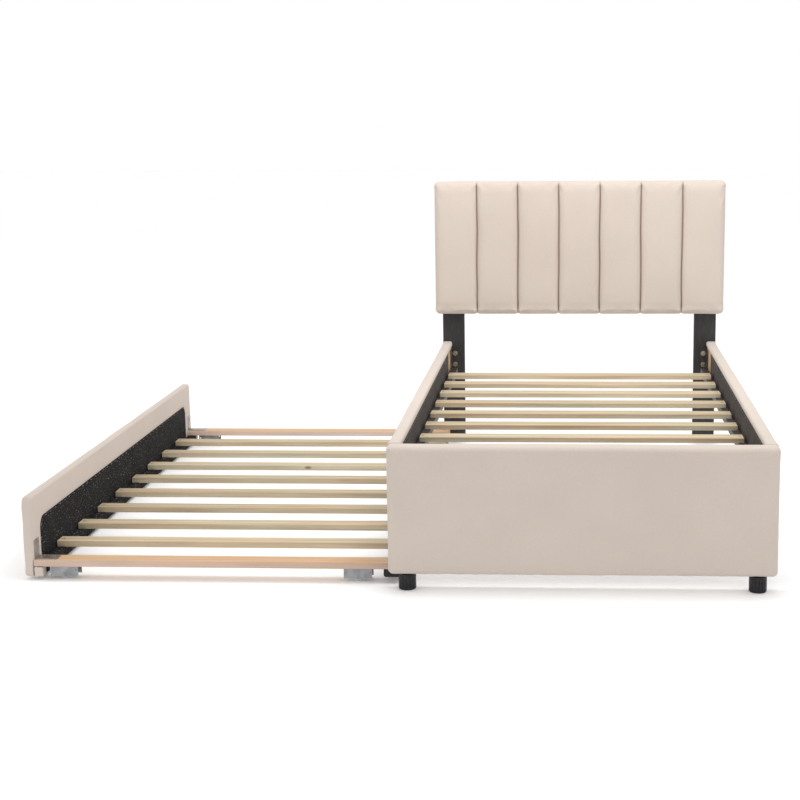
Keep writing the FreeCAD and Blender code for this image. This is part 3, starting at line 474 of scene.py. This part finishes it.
def repeat_tree(name, shape):
    """A node tree that repeats a stitch or a staple along a path, with a little unevenness.

    The shape's long side follows the path and its top faces the Facing direction.
    """
    tree = bpy.data.node_groups.new(name, "GeometryNodeTree")
    tree.is_modifier = True
    tree.interface.new_socket("Path", in_out="INPUT", socket_type="NodeSocketGeometry")
    for label in ("Pitch", "Length", "Thickness", "Unevenness"):
        tree.interface.new_socket(label, in_out="INPUT", socket_type="NodeSocketFloat")
    tree.interface.new_socket("Facing", in_out="INPUT", socket_type="NodeSocketVector")
    tree.interface.new_socket("Finish", in_out="INPUT", socket_type="NodeSocketMaterial")
    tree.interface.new_socket("Pieces", in_out="OUTPUT", socket_type="NodeSocketGeometry")

    def add(kind, inputs, **settings):
        """A node of the tree with its settings, then values or links for its sockets."""
        node = tree.nodes.new(kind)
        for label, value in settings.items():
            setattr(node, label, value)
        for label, value in inputs.items():
            if isinstance(value, bpy.types.NodeSocket):
                tree.links.new(value, node.inputs[label])
            else:
                node.inputs[label].default_value = value
        return node.outputs

    given = tree.nodes.new("NodeGroupInput").outputs
    length = given["Length"]
    thickness = given["Thickness"]
    size = add("ShaderNodeCombineXYZ", {0: length, 1: thickness, 2: thickness})[0]
    if shape == "stitch":
        ball = add("GeometryNodeMeshUVSphere", {"Segments": 6, "Rings": 5, "Radius": 0.5})[0]
        single = add("GeometryNodeTransform", {"Geometry": ball, "Scale": size})[0]
    else:
        crown = add("GeometryNodeMeshCube", {"Size": size})[0]
        wire = add("ShaderNodeCombineXYZ", {0: thickness, 1: thickness, 2: thickness})[0]
        leg_inputs = {0: wire, 1: (1.0, 1.0, 3.0)}
        leg_size = add("ShaderNodeVectorMath", leg_inputs, operation="MULTIPLY")[0]
        leg = add("GeometryNodeMeshCube", {"Size": leg_size})[0]
        legs = []
        for side in (-0.5, 0.5):
            reach = add("ShaderNodeMath", {0: length, 1: side}, operation="MULTIPLY")[0]
            drop = add("ShaderNodeMath", {0: thickness, 1: -1.0}, operation="MULTIPLY")[0]
            place = add("ShaderNodeCombineXYZ", {0: reach, 2: drop})[0]
            legs.append(add("GeometryNodeTransform", {"Geometry": leg, "Translation": place})[0])
        joined = tree.nodes.new("GeometryNodeJoinGeometry")
        for part in (crown, *legs):
            tree.links.new(part, joined.inputs[0])
        single = joined.outputs[0]
    curve = add("GeometryNodeMeshToCurve", {"Mesh": given["Path"]})[0]
    even_inputs = {"Curve": curve, "Length": given["Pitch"]}
    even = add("GeometryNodeResampleCurve", even_inputs, mode="LENGTH")[0]
    tangent = add("GeometryNodeInputTangent", {})[0]
    lying = add("FunctionNodeAlignRotationToVector", {"Vector": tangent}, axis="X")[0]
    facing_inputs = {"Rotation": lying, "Vector": given["Facing"]}
    upright = add("FunctionNodeAlignRotationToVector", facing_inputs, axis="Z", pivot_axis="X")[0]
    low_turn = add("ShaderNodeMath", {0: given["Unevenness"], 1: -1.0}, operation="MULTIPLY")[0]
    swing = tree.nodes.new("FunctionNodeRandomValue")
    swing.data_type = "FLOAT"
    tree.links.new(low_turn, swing.inputs[2])
    tree.links.new(given["Unevenness"], swing.inputs[3])
    swing.inputs["Seed"].default_value = SWING_SEED
    spin_inputs = {"Axis": (0.0, 0.0, 1.0), "Angle": swing.outputs[1]}
    spin = add("FunctionNodeAxisAngleToRotation", spin_inputs)[0]
    turn_inputs = {"Rotation": upright, "Rotate By": spin}
    turned = add("FunctionNodeRotateRotation", turn_inputs, rotation_space="LOCAL")[0]
    repeat_inputs = {"Points": even, "Instance": single, "Rotation": turned}
    repeated = add("GeometryNodeInstanceOnPoints", repeat_inputs)[0]
    real = add("GeometryNodeRealizeInstances", {"Geometry": repeated})[0]
    painted = add("GeometryNodeSetMaterial", {"Geometry": real, "Material": given["Finish"]})[0]
    tree.links.new(painted, tree.nodes.new("NodeGroupOutput").inputs[0])
    return tree


def repeated_piece(name, tree, paths, closed, values, body):
    """The shapes that a tree repeats along some paths, as one plain piece on a body."""
    mesh = bpy.data.meshes.new(name)
    points = []
    edges = []
    for path in paths:
        first = len(points)
        points += [Vector(point) for point in path]
        edges += [(first + i, first + i + 1) for i in range(len(path) - 1)]
        if closed:
            edges.append((len(points) - 1, first))
    mesh.from_pydata(points, edges, [])
    guide = bpy.data.objects.new(name + "_path", mesh)
    bpy.context.scene.collection.objects.link(guide)
    modifier = guide.modifiers.new("repeat", "NODES")
    modifier.node_group = tree
    for item in tree.interface.items_tree:
        if item.in_out == "INPUT" and item.name in values:
            modifier[item.identifier] = values[item.name]
    shown = guide.evaluated_get(bpy.context.evaluated_depsgraph_get())
    made = bpy.data.meshes.new_from_object(shown)
    guide.modifiers.remove(modifier)
    bpy.data.objects.remove(guide)
    piece = bpy.data.objects.new(name, made)
    bpy.context.scene.collection.objects.link(piece)
    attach(piece, body)
    return piece


STITCH_RISE = 0.0006
PATH_POINTS = 40
thread_y = head_low.y + SEAM_DEPTH - STITCH_RISE
thread_low = head_low.z + HEAD_ROUNDING
thread_step = (head_high.z - HEAD_ROUNDING - thread_low) / PATH_POINTS
heights = [thread_low + thread_step * i for i in range(PATH_POINTS + 1)]
seam_paths = [[(seam + seam_wander(seam, z), thread_y, z) for z in heights] for seam in seams]
stitch_sizes = {
    "Pitch": 0.0055,
    "Length": 0.0048,
    "Thickness": 0.0016,
    "Unevenness": 0.12,
    "Facing": (0.0, -1.0, 0.0),
    "Finish": thread,
}
repeated_piece(
    "headboard_seam_thread",
    repeat_tree("stitches", "stitch"),
    seam_paths,
    False,
    stitch_sizes,
    "bed",
)

# ------------------------------------------------------------------ headboard dust cover
# A thin black cloth over the back of the headboard. Its edges are stapled to the board, over
# the turned-in velvet, with flat wire staples a few centimetres apart.

DUST_BLACK = (0.009, 0.009, 0.010, 1)
DUST_GREY = (0.022, 0.021, 0.022, 1)
PALE_FIBRE = (0.34, 0.32, 0.30, 1)
WIRE_DEEP = (0.36, 0.37, 0.38, 1)
WIRE_LIGHT = (0.62, 0.63, 0.65, 1)


def lining_finish(name, deep, light):
    """A thin pressed-fibre cloth with small dimples and a few pale fibres."""
    material, spot = new_finish(name)
    fibres = spot.noise(600.0, detail=3.0)
    dimples = spot.node("TexVoronoi", None, {"Vector": spot, "Scale": 520.0})
    worn = spot.noise(14.0, detail=4.0)
    tone = fibres.between(0.35, 0.75) * 0.6 + worn.between(0.35, 0.7) * 0.4
    specks = spot.noise(260.0, detail=0.0).between(0.72, 0.80)
    cloth = tone.tint(deep, light)
    speckled = specks.tint(cloth, PALE_FIBRE)
    height = dimples.between(0.1, 0.6) * 0.6 + fibres * 0.4
    set_finish(
        material,
        Base_Color=speckled,
        Roughness=fibres.between(0.2, 0.8, 0.78, 0.95),
        Specular_IOR_Level=0.1,
        Normal=height.bump(0.4, 0.0004),
    )
    return material


def steel_finish(name, deep, light, roughness, metallic=1.0):
    """Plated steel: cloudy plating, fine rub marks and a dull film in places."""
    material, spot = new_finish(name)
    clouds = spot.noise(40.0, detail=4.0)
    rubs = spot.noise(220.0, detail=3.0, stretch=(1.0, 0.15, 1.0))
    tone = clouds.between(0.3, 0.7) * 0.6 + rubs * 0.4
    set_finish(
        material,
        Base_Color=tone.tint(deep, light),
        Metallic=metallic,
        Roughness=rubs.between(0.2, 0.8, roughness - 0.08, roughness + 0.12),
        Normal=rubs.bump(0.15, 0.0003),
    )
    return material


dust_black = lining_finish("dust_black", DUST_BLACK, DUST_GREY)
staple_wire = steel_finish("staple_wire", WIRE_DEEP, WIRE_LIGHT, roughness=0.35)
staple_tree = repeat_tree("staples", "staple")
CLOTH_THICKNESS = 0.0006
CLOTH_CELL = 0.02
CLOTH_SLACK = 0.0005
SLACK_REACH = 0.05
LEAST_CORNER = 0.004
STAPLE_INSET = 0.007
STAPLE_STAND = 0.0002


def stretched_cloth(name, node, axis, facing, material, body, radius=0.0):
    """A thin cloth stretched flat in its place, with its staples along the edge.

    Axis is the direction that it faces along, and facing which way, 1 or -1.
    """
    low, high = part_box(node)
    first, second = [a for a in range(3) if a != axis]
    middle = (low[axis] + high[axis]) / 2
    counts = [max(2, round((high[a] - low[a]) / CLOTH_CELL)) for a in (first, second)]
    edge = max(radius, LEAST_CORNER)

    def rounded(u, v):
        """The place u, v in a rectangle, moved in near a corner so that the corners are round."""
        centre_u = min(max(u, low[first] + edge), high[first] - edge)
        centre_v = min(max(v, low[second] + edge), high[second] - edge)
        du, dv = u - centre_u, v - centre_v
        if du == 0 or dv == 0:
            return u, v
        shrink = max(abs(du), abs(dv)) / math.hypot(du, dv)
        return centre_u + du * shrink, centre_v + dv * shrink

    def places(a, count):
        """The cloth's grid lines along one direction: close in the corners, then even."""
        corner = [edge * step for step in (0.0, 0.25, 0.5, 0.75)]
        inner = [edge + (high[a] - low[a] - 2 * edge) * i / count for i in range(count + 1)]
        outer = [high[a] - low[a] - step for step in reversed(corner)]
        return [low[a] + step for step in corner + inner + outer]

    us, vs = places(first, counts[0]), places(second, counts[1])
    bm = bmesh.new()
    rows = []
    for u in us:
        row = []
        for v in vs:
            ru, rv = rounded(u, v)
            point = [0.0, 0.0, 0.0]
            point[first], point[second] = ru, rv
            to_edge = min(u - low[first], high[first] - u, v - low[second], high[second] - v)
            slack = min(1.0, to_edge / SLACK_REACH)
            wave = ripple((ru, rv, middle), scale=14.0, seed=5.3)
            point[axis] = middle + CLOTH_SLACK * slack * wave
            row.append(bm.verts.new(point))
        rows.append(row)
    for i in range(len(us) - 1):
        for j in range(len(vs) - 1):
            bm.faces.new((rows[i][j], rows[i + 1][j], rows[i + 1][j + 1], rows[i][j + 1]))
    bm.normal_update()
    outward = Vector([facing if a == axis else 0.0 for a in range(3)])
    if sum(face.normal.dot(outward) for face in bm.faces) < 0:
        bmesh.ops.reverse_faces(bm, faces=bm.faces)
    cloth = finished(name, bm, material, body)
    wall = cloth.modifiers.new("wall", "SOLIDIFY")
    wall.thickness = CLOTH_THICKNESS
    wall.offset = 0.0
    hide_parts(node)

    left, bottom = low[first], low[second]
    right, top = high[first], high[second]
    inset = edge + STAPLE_INSET
    turns = [
        (left + inset, bottom + STAPLE_INSET),
        (right - inset, bottom + STAPLE_INSET),
        (right - STAPLE_INSET, bottom + inset),
        (right - STAPLE_INSET, top - inset),
        (right - inset, top - STAPLE_INSET),
        (left + inset, top - STAPLE_INSET),
        (left + STAPLE_INSET, top - inset),
        (left + STAPLE_INSET, bottom + inset),
    ]
    outline = []
    for u, v in turns:
        point = [0.0, 0.0, 0.0]
        point[first], point[second] = u, v
        point[axis] = middle + facing * (CLOTH_THICKNESS / 2 + STAPLE_STAND)
        outline.append(point)
    staple_sizes = {
        "Pitch": 0.045,
        "Length": 0.0105,
        "Thickness": 0.0007,
        "Unevenness": 0.25,
        "Facing": tuple(outward),
        "Finish": staple_wire,
    }
    staples = repeated_piece(
        name + "_staples",
        staple_tree,
        [outline],
        True,
        staple_sizes,
        body,
    )


stretched_cloth(
    "headboard_dust_cover",
    "headboard_back_cover",
    1,
    1,
    dust_black,
    "bed",
    radius=0.012,
)

# ------------------------------------------------------------------ board and posts
# The headboard's own board is pressed wood and hides inside the cushion. Two softwood posts
# painted black carry it, with a bolt at two heights in each and a moulded glide underfoot.

BOARD_DEEP = (0.36, 0.25, 0.16, 1)
BOARD_LIGHT = (0.47, 0.35, 0.235, 1)
PAINT_BLACK = (0.017, 0.017, 0.018, 1)
PAINT_WORN = (0.036, 0.034, 0.033, 1)


def painted(node_names, material):
    """Gives the named solids of the frame a finish."""
    for name in node_names:
        solid = bpy.data.objects[name]
        solid.data.materials.clear()
        solid.data.materials.append(material)


pressed_wood, spot = new_finish("pressed_wood")
chips = spot.node("TexVoronoi", None, {"Vector": spot, "Scale": 420.0})
fibres = spot.noise(160.0, detail=5.0)
tone = chips.between(0.1, 0.7) * 0.5 + fibres.between(0.3, 0.7) * 0.5
set_finish(
    pressed_wood,
    Base_Color=tone.tint(BOARD_DEEP, BOARD_LIGHT),
    Roughness=fibres.between(0.2, 0.8, 0.7, 0.85),
    Normal=fibres.bump(0.3, 0.0005),
)
black_paint, spot = new_finish("black_paint")
grain = spot.noise(30.0, detail=5.0, stretch=(8.0, 8.0, 0.7))
orange_peel = spot.noise(350.0, detail=2.0)
set_finish(
    black_paint,
    Base_Color=grain.between(0.45, 0.75).tint(PAINT_BLACK, PAINT_WORN),
    Roughness=grain.between(0.3, 0.7, 0.42, 0.58),
    Specular_IOR_Level=0.4,
    Normal=(grain * 0.7 + orange_peel * 0.3).bump(0.3, 0.0005),
)


def moulded_finish(name, deep, light, roughness):
    """Moulded plastic: a fine mould texture with handling marks in its gloss."""
    material, spot = new_finish(name)
    texture = spot.noise(700.0, detail=2.0)
    marks = spot.noise(45.0, detail=5.0)
    set_finish(
        material,
        Base_Color=marks.between(0.35, 0.75).tint(deep, light),
        Roughness=marks.between(0.3, 0.7, roughness, roughness + 0.14),
        Specular_IOR_Level=0.3,
        Normal=texture.bump(0.12, 0.0002),
    )
    return material


MOULDING_BLACK = (0.008, 0.008, 0.009, 1)
MOULDING_WORN = (0.016, 0.016, 0.017, 1)
BOLT_BLACK = (0.03, 0.03, 0.03, 1)
BOLT_WORN = (0.07, 0.07, 0.07, 1)
black_moulding = moulded_finish("black_moulding", MOULDING_BLACK, MOULDING_WORN, roughness=0.16)
black_bolt = steel_finish("black_bolt", BOLT_BLACK, BOLT_WORN, roughness=0.4)
painted(["headboard_board"], pressed_wood)
painted(["left_post", "right_post"], black_paint)
painted(["post_glides"], black_moulding)
painted(["headboard_bolts"], black_bolt)

# ------------------------------------------------------------------ footboard
# A board on battens with thin foam over it, all wrapped in the same velvet. The cloth turns
# in round the back, where a grey lining covers its edges, and two fluted feet screw in below.

FOOT_ROUNDING = 0.014
PUCKER_CELL = 0.010
PUCKER_DEPTH = 0.0012
PUCKER_REACH = 0.018
HEM = 0.0010
PANE_BACK = 0.0004
FACE_BAND = 0.0005
STILL_BAND = 0.004


def hem_lines(low, high):
    """Grid places close on both sides of each edge of an opening."""
    return [low - HEM, low + HEM, high - HEM, high + HEM]


def inside(value, low, high):
    """Whether a value lies between two others."""
    return low < value < high


def surface_waves(point, normal, height, seed):
    """A slow unevenness that foam shows under its cloth."""
    slow = normal * height * ripple(point, 5.0, seed)
    quick = normal * height * 0.4 * ripple(point, 17.0, seed)
    return slow + quick


board_low, board_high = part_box("footboard_cover")
pane_low, pane_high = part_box("footboard_lining")
bm = padded_block(
    board_low,
    board_high,
    FOOT_ROUNDING,
    PUCKER_CELL,
    extra_x=hem_lines(pane_low.x, pane_high.x),
    extra_z=hem_lines(pane_low.z, pane_high.z),
)


def pucker(point, low_edge):
    """Small gathers in the cloth just above a stapled lower edge."""
    fade = math.exp(-max(0.0, point.z - low_edge) / PUCKER_REACH)
    return PUCKER_DEPTH * fade * ripple((point.x, 0.0, point.z * 0.3), scale=55.0, seed=6.2)


held = []
moves = {}
for vert in bm.verts:
    point = vert.co
    if point.y > board_low.y + FOOT_ROUNDING:
        held.append(vert.index)
    at_back = point.y > board_high.y - FACE_BAND
    in_pane = inside(point.x, pane_low.x, pane_high.x) and inside(point.z, pane_low.z, pane_high.z)
    if at_back and in_pane:
        moves[vert] = Vector((0.0, pane_low.y - PANE_BACK - board_high.y, 0.0))
    elif point.y < board_high.y - STILL_BAND:
        gather = vert.normal * pucker(point, board_low.z)
        moves[vert] = surface_waves(point, vert.normal, height=0.0010, seed=2.7) + gather
for vert, move in moves.items():
    vert.co += move
foot_velvet = finished("footboard_velvet", bm, velvet, "bed")
plump(foot_velvet, held, pressure=1.5, cap=0.002)
smoothed(foot_velvet)
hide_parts("footboard_cover")

GREY_DEEP = (0.046, 0.039, 0.037, 1)
GREY_LIGHT = (0.086, 0.074, 0.070, 1)
rail_grey = lining_finish("rail_grey", GREY_DEEP, GREY_LIGHT)
stretched_cloth(
    "footboard_back_lining",
    "footboard_lining",
    1,
    1,
    rail_grey,
    "bed",
    radius=0.010,
)
painted(["footboard_panel", "footboard_battens"], pressed_wood)
painted(["feet"], black_moulding)

# ------------------------------------------------------------------ side rails
# Each rail is a long board with thin foam on its outer face and velvet over its top edge. The
# cloth ends in a hem inside, above a grey lining, and bare board shows where the angle bolts on.

COVER_CELL = 0.016
RAIL_ROUNDING = 0.008
RAIL_TOP = 0.006
HEM_DROP = 0.020
BOARD_STAND = 0.003
RAIL_WOOD_DEEP = (0.34, 0.19, 0.085, 1)
RAIL_WOOD_LIGHT = (0.52, 0.33, 0.165, 1)

for side, inward in (("left", 1), ("right", -1)):
    rail_low, rail_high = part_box(f"{side}_rail_cover")
    inner_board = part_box(f"{side}_rail_board")
    inner_face = rail_high.x if inward > 0 else rail_low.x
    board_face = inner_board[1].x if inward > 0 else inner_board[0].x
    hem_place = rail_high.z - HEM_DROP
    bm = padded_block(
        rail_low,
        rail_high,
        RAIL_ROUNDING,
        COVER_CELL,
        extra_z=[hem_place - HEM, hem_place + HEM],
    )
    outer_face = rail_low.x if inward > 0 else rail_high.x
    held = []
    moves = {}
    for vert in bm.verts:
        point = vert.co
        if abs(point.x - outer_face) > RAIL_ROUNDING:
            held.append(vert.index)
        outer_part = (inner_face - point.x) * inward > RAIL_TOP
        if point.z < hem_place and (point.x - board_face) * inward > -BOARD_STAND:
            moves[vert] = Vector((board_face - inward * BOARD_STAND - point.x, 0.0, 0.0))
        elif outer_part or point.z > rail_high.z - RAIL_TOP:
            moves[vert] = surface_waves(point, vert.normal, height=0.0008, seed=4.4 * inward)
    for vert, move in moves.items():
        vert.co += move
    rail_velvet = finished(f"{side}_rail_velvet", bm, velvet, "bed")
    plump(rail_velvet, held, pressure=1.2, cap=0.0015)
    smoothed(rail_velvet)
    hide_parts(f"{side}_rail_cover")
    stretched_cloth(
        f"{side}_rail_inner_lining",
        f"{side}_rail_lining",
        0,
        inward,
        rail_grey,
        "bed",
    )
rail_wood, spot = new_finish("rail_wood")
fibres = spot.noise(24.0, detail=5.0, stretch=(9.0, 0.6, 9.0))
set_finish(
    rail_wood,
    Base_Color=fibres.between(0.3, 0.7).tint(RAIL_WOOD_DEEP, RAIL_WOOD_LIGHT),
    Roughness=fibres.between(0.3, 0.7, 0.55, 0.7),
    Normal=fibres.bump(0.25, 0.0005),
)
painted(["left_rail_board", "right_rail_board"], rail_wood)

# ------------------------------------------------------------------ angles and bolts
# Pressed steel angles, painted black, join the rails to the posts and to the footboard. Their
# hexagon-head bolts are zinc plated, with a pale and slightly golden shine.

ANGLE_BLACK = (0.018, 0.017, 0.016, 1)
ANGLE_WORN = (0.045, 0.042, 0.038, 1)
ZINC_GOLD = (0.40, 0.36, 0.29, 1)
ZINC_PALE = (0.66, 0.62, 0.54, 1)
black_steel = steel_finish("black_steel", ANGLE_BLACK, ANGLE_WORN, roughness=0.45, metallic=0.3)
bolt_zinc = steel_finish("bolt_zinc", ZINC_GOLD, ZINC_PALE, roughness=0.28)
painted(["left_head_angle", "right_head_angle", "foot_angles"], black_steel)
painted(["angle_bolts"], bolt_zinc)

# ------------------------------------------------------------------ slats and ledges
# Planed pine boards lie across the bed and the trundle on black painted ledges, with a screw
# in each end. Each is cut from another part of a log, so they differ in tone, with small knots.

PINE_DEEP = (0.33, 0.255, 0.165, 1)
PINE_LIGHT = (0.60, 0.505, 0.365, 1)
PINE_KNOT = (0.20, 0.115, 0.06, 1)
# Painted light: a tint for the slats' faces that turn to the front.
PINE_FRONT_LIGHT = (0.98, 1.0, 1.06, 1)
END_GRAIN = (0.84, 0.78, 0.70, 1)
HEARTWOOD = (1.04, 0.97, 0.88, 1)
SAPWOOD = (0.97, 1.01, 0.98, 1)
UNTINTED = (1.0, 1.0, 1.0, 1)
SLAT_PITCH = 0.095


def pine_finish(name, deep, light, knot, edge, pitch):
    """Planed pine with its grain across the bed and another tone every pitch metres.

    Faces that turn to the front (-Y) get a tint of painted light, and its end grain a tint of its own.
    """
    material, spot = new_finish(name)
    parts = spot.node("SeparateXYZ", None, {"Vector": spot}, output="Y")
    number = (parts * (1.0 / pitch) + 0.5).math("FLOOR")
    chance = number.node("TexWhiteNoise", {"noise_dimensions": "1D"}, {"W": number}, output=0)
    shifted = number.node("CombineXYZ", None, {"X": chance * 7.0, "Y": chance * 3.0, "Z": chance * 5.0})
    log = shifted.node("VectorMath", {"operation": "ADD"}, {0: spot, 1: shifted})
    lengthwise = (0.5, 9.0, 9.0)
    fibre = log.noise(70.0, detail=4.0, roughness=0.6, stretch=lengthwise)
    streak = log.noise(9.0, detail=3.0, stretch=lengthwise)
    ring_place = log.node("Mapping", None, {"Vector": log, "Scale": (0.10, 1.0, 0.6)})
    ring_inputs = {
        "Vector": ring_place,
        "Scale": 14.0,
        "Distortion": 5.0,
        "Detail": 3.0,
        "Detail Scale": 1.2,
    }
    ring_settings = {"wave_type": "RINGS", "rings_direction": "X"}
    rings = log.node("TexWave", ring_settings, ring_inputs, output=1)
    knot_place = log.node("Mapping", None, {"Vector": log, "Scale": (0.45, 1.0, 1.0)})
    knots = log.node("TexVoronoi", None, {"Vector": knot_place, "Scale": 6.5})
    knot_core = knots.between(0.025, 0.055, 0.85, 0.0)
    figure = streak.between(0.3, 0.7) * 0.25 + fibre * 0.2 + rings.between(0.2, 0.95) * 0.25
    tone = figure + chance * 0.35
    hue = log.noise(3.0, detail=2.0, stretch=lengthwise).between(0.35, 0.65)
    wood = hue.tint(HEARTWOOD, SAPWOOD).times(tone.tint(deep, light))
    # Painted light: faces turned to the front (-Y) take the edge tint, whatever the wood is like there.
    facing = parts.node("NewGeometry", output="Normal")
    backward = facing.node("SeparateXYZ", None, {"Vector": facing}, output="Y")
    front_light_mask = (0.0 - backward).between(0.5, 1.0)
    wood = front_light_mask.tint(UNTINTED, edge).times(wood)
    sawn_end = facing.node("SeparateXYZ", None, {"Vector": facing}, output="X").math("ABSOLUTE")
    wood = sawn_end.between(0.6, 0.9).tint(UNTINTED, END_GRAIN).times(wood)
    set_finish(
        material,
        Base_Color=knot_core.tint(wood, knot),
        Roughness=fibre.between(0.25, 0.75, 0.55, 0.75),
        Specular_IOR_Level=0.35,
        Normal=(fibre * 0.7 + rings * 0.3).bump(0.25, 0.0006),
    )
    return material


bed_slats = [name for name in nodes if name.startswith("bed_slat_") and name[-1].isdigit()]
trundle_slats = [
    name for name in nodes if name.startswith("trundle_slat_") and name[-1].isdigit()
]
slat_pine = pine_finish("slat_pine", PINE_DEEP, PINE_LIGHT, PINE_KNOT, PINE_FRONT_LIGHT, SLAT_PITCH)
painted(bed_slats + trundle_slats, slat_pine)
painted(["left_slat_ledge", "right_slat_ledge"], black_paint)
painted(["bed_slat_screws", "trundle_slat_screws", "trundle_bracket_screws"], bolt_zinc)

# ------------------------------------------------------------------ trundle panel
# The trundle's outer panel is a board under thin foam and velvet, with round upper corners.
# Inside, a black lining with round corners covers the cloth's turned-in edge and the ledge,
# and the velvet is folded over the ledge's two ends.

PANEL_ROUNDING = 0.008
PANEL_CORNER = 0.020
PATCH_CORNER = 0.026
PATCH_BACK = 0.0006
panel_low, panel_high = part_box("trundle_panel_cover")
patch_low, patch_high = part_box("trundle_panel_lining")
bm = padded_block(
    panel_low,
    panel_high,
    PANEL_ROUNDING,
    COVER_CELL,
    extra_y=hem_lines(patch_low.y, patch_high.y),
    extra_z=hem_lines(patch_low.z, patch_high.z)[2:],
)
held = []
moves = {}
for vert in bm.verts:
    point = vert.co
    if point.x > panel_low.x + PANEL_ROUNDING:
        held.append(vert.index)
    in_patch = inside(point.y, patch_low.y, patch_high.y) and point.z < patch_high.z
    beyond_y = max(patch_low.y + PATCH_CORNER - point.y, point.y - patch_high.y + PATCH_CORNER, 0.0)
    beyond_z = max(point.z - patch_high.z + PATCH_CORNER, 0.0)
    in_patch = in_patch and math.hypot(beyond_y, beyond_z) < PATCH_CORNER
    if point.x > panel_high.x - FACE_BAND and in_patch:
        moves[vert] = Vector((patch_low.x - PATCH_BACK - panel_high.x, 0.0, 0.0))
    elif point.x < panel_high.x - STILL_BAND:
        moves[vert] = surface_waves(point, vert.normal, height=0.0010, seed=8.1)
for vert, move in moves.items():
    vert.co += move
top_centre = panel_high.z - PANEL_CORNER
for vert in bm.verts:
    arc_y = min(max(vert.co.y, panel_low.y + PANEL_CORNER), panel_high.y - PANEL_CORNER)
    dy = vert.co.y - arc_y
    dz = vert.co.z - top_centre
    if dz > 0 and dy != 0:
        shrink = max(abs(dy), dz) / math.hypot(dy, dz)
        vert.co.y = arc_y + dy * shrink
        vert.co.z = top_centre + dz * shrink
panel_velvet = finished("trundle_panel_velvet", bm, velvet, "trundle")
plump(panel_velvet, held, pressure=1.2, cap=0.0015)
smoothed(panel_velvet)
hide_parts("trundle_panel_cover")
stretched_cloth(
    "trundle_inner_lining",
    "trundle_panel_lining",
    0,
    1,
    dust_black,
    "trundle",
    radius=PATCH_CORNER,
)
painted(["trundle_panel_board"], pressed_wood)
painted(["trundle_slat_ledge"], dust_black)
CAP_LENGTH = 0.030
CAP_STAND = 0.0012
CAP_DROP = 0.0003
ledge_low, ledge_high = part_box("trundle_slat_ledge")
for end, start in (("front", ledge_low.y), ("back", ledge_high.y - CAP_LENGTH)):
    cap_end = start + CAP_LENGTH + CAP_STAND
    cap_low = Vector((ledge_low.x, start - CAP_STAND, panel_low.z))
    cap_high = Vector((ledge_high.x + CAP_STAND, cap_end, ledge_high.z - CAP_DROP))
    bm = padded_block(cap_low, cap_high, radius=0.004, cell=0.008)
    cap = finished(f"ledge_{end}_cap", bm, velvet, "trundle")
    smoothed(cap)

# ------------------------------------------------------------------ trundle deck
# Two reddish pine rails close the deck's ends, and a smooth black bar its inner side. Folded
# steel corner brackets screw the end rails to the panel.

RAIL_DEEP = (0.47, 0.29, 0.17, 1)
RAIL_LIGHT = (0.66, 0.43, 0.265, 1)
RAIL_KNOT = (0.26, 0.13, 0.07, 1)
# Painted light: a cool grey tint for the end rails' faces that turn to the front.
RAIL_FRONT_LIGHT = (0.93, 1.12, 1.60, 1)
RAIL_PITCH = 0.5
BRACKET_DEEP = (0.28, 0.26, 0.25, 1)
BRACKET_LIGHT = (0.45, 0.42, 0.40, 1)
rail_pine = pine_finish("rail_pine", RAIL_DEEP, RAIL_LIGHT, RAIL_KNOT, RAIL_FRONT_LIGHT, RAIL_PITCH)
bracket_steel = steel_finish("bracket_steel", BRACKET_DEEP, BRACKET_LIGHT, roughness=0.4)
painted(["trundle_front_rail", "trundle_back_rail"], rail_pine)
painted(["trundle_inner_bar"], black_moulding)
painted(["trundle_corner_brackets"], bracket_steel)

# ------------------------------------------------------------------ casters
# Four low casters carry the trundle. Each has a pressed steel bracket screwed under an end
# rail, a steel pin through its ears and a pale grey nylon wheel.

NYLON_DEEP = (0.42, 0.43, 0.44, 1)
NYLON_LIGHT = (0.56, 0.57, 0.58, 1)
CASTER_DEEP = (0.20, 0.205, 0.215, 1)
CASTER_LIGHT = (0.36, 0.365, 0.38, 1)
wheel_grey = moulded_finish("wheel_grey", NYLON_DEEP, NYLON_LIGHT, roughness=0.35)
grey_zinc = steel_finish("grey_zinc", CASTER_DEEP, CASTER_LIGHT, roughness=0.42)
painted(["caster_brackets", "caster_axles"], grey_zinc)
painted(["caster_screws"], bolt_zinc)
painted([name for name in nodes if name.startswith("wheel_")], wheel_grey)
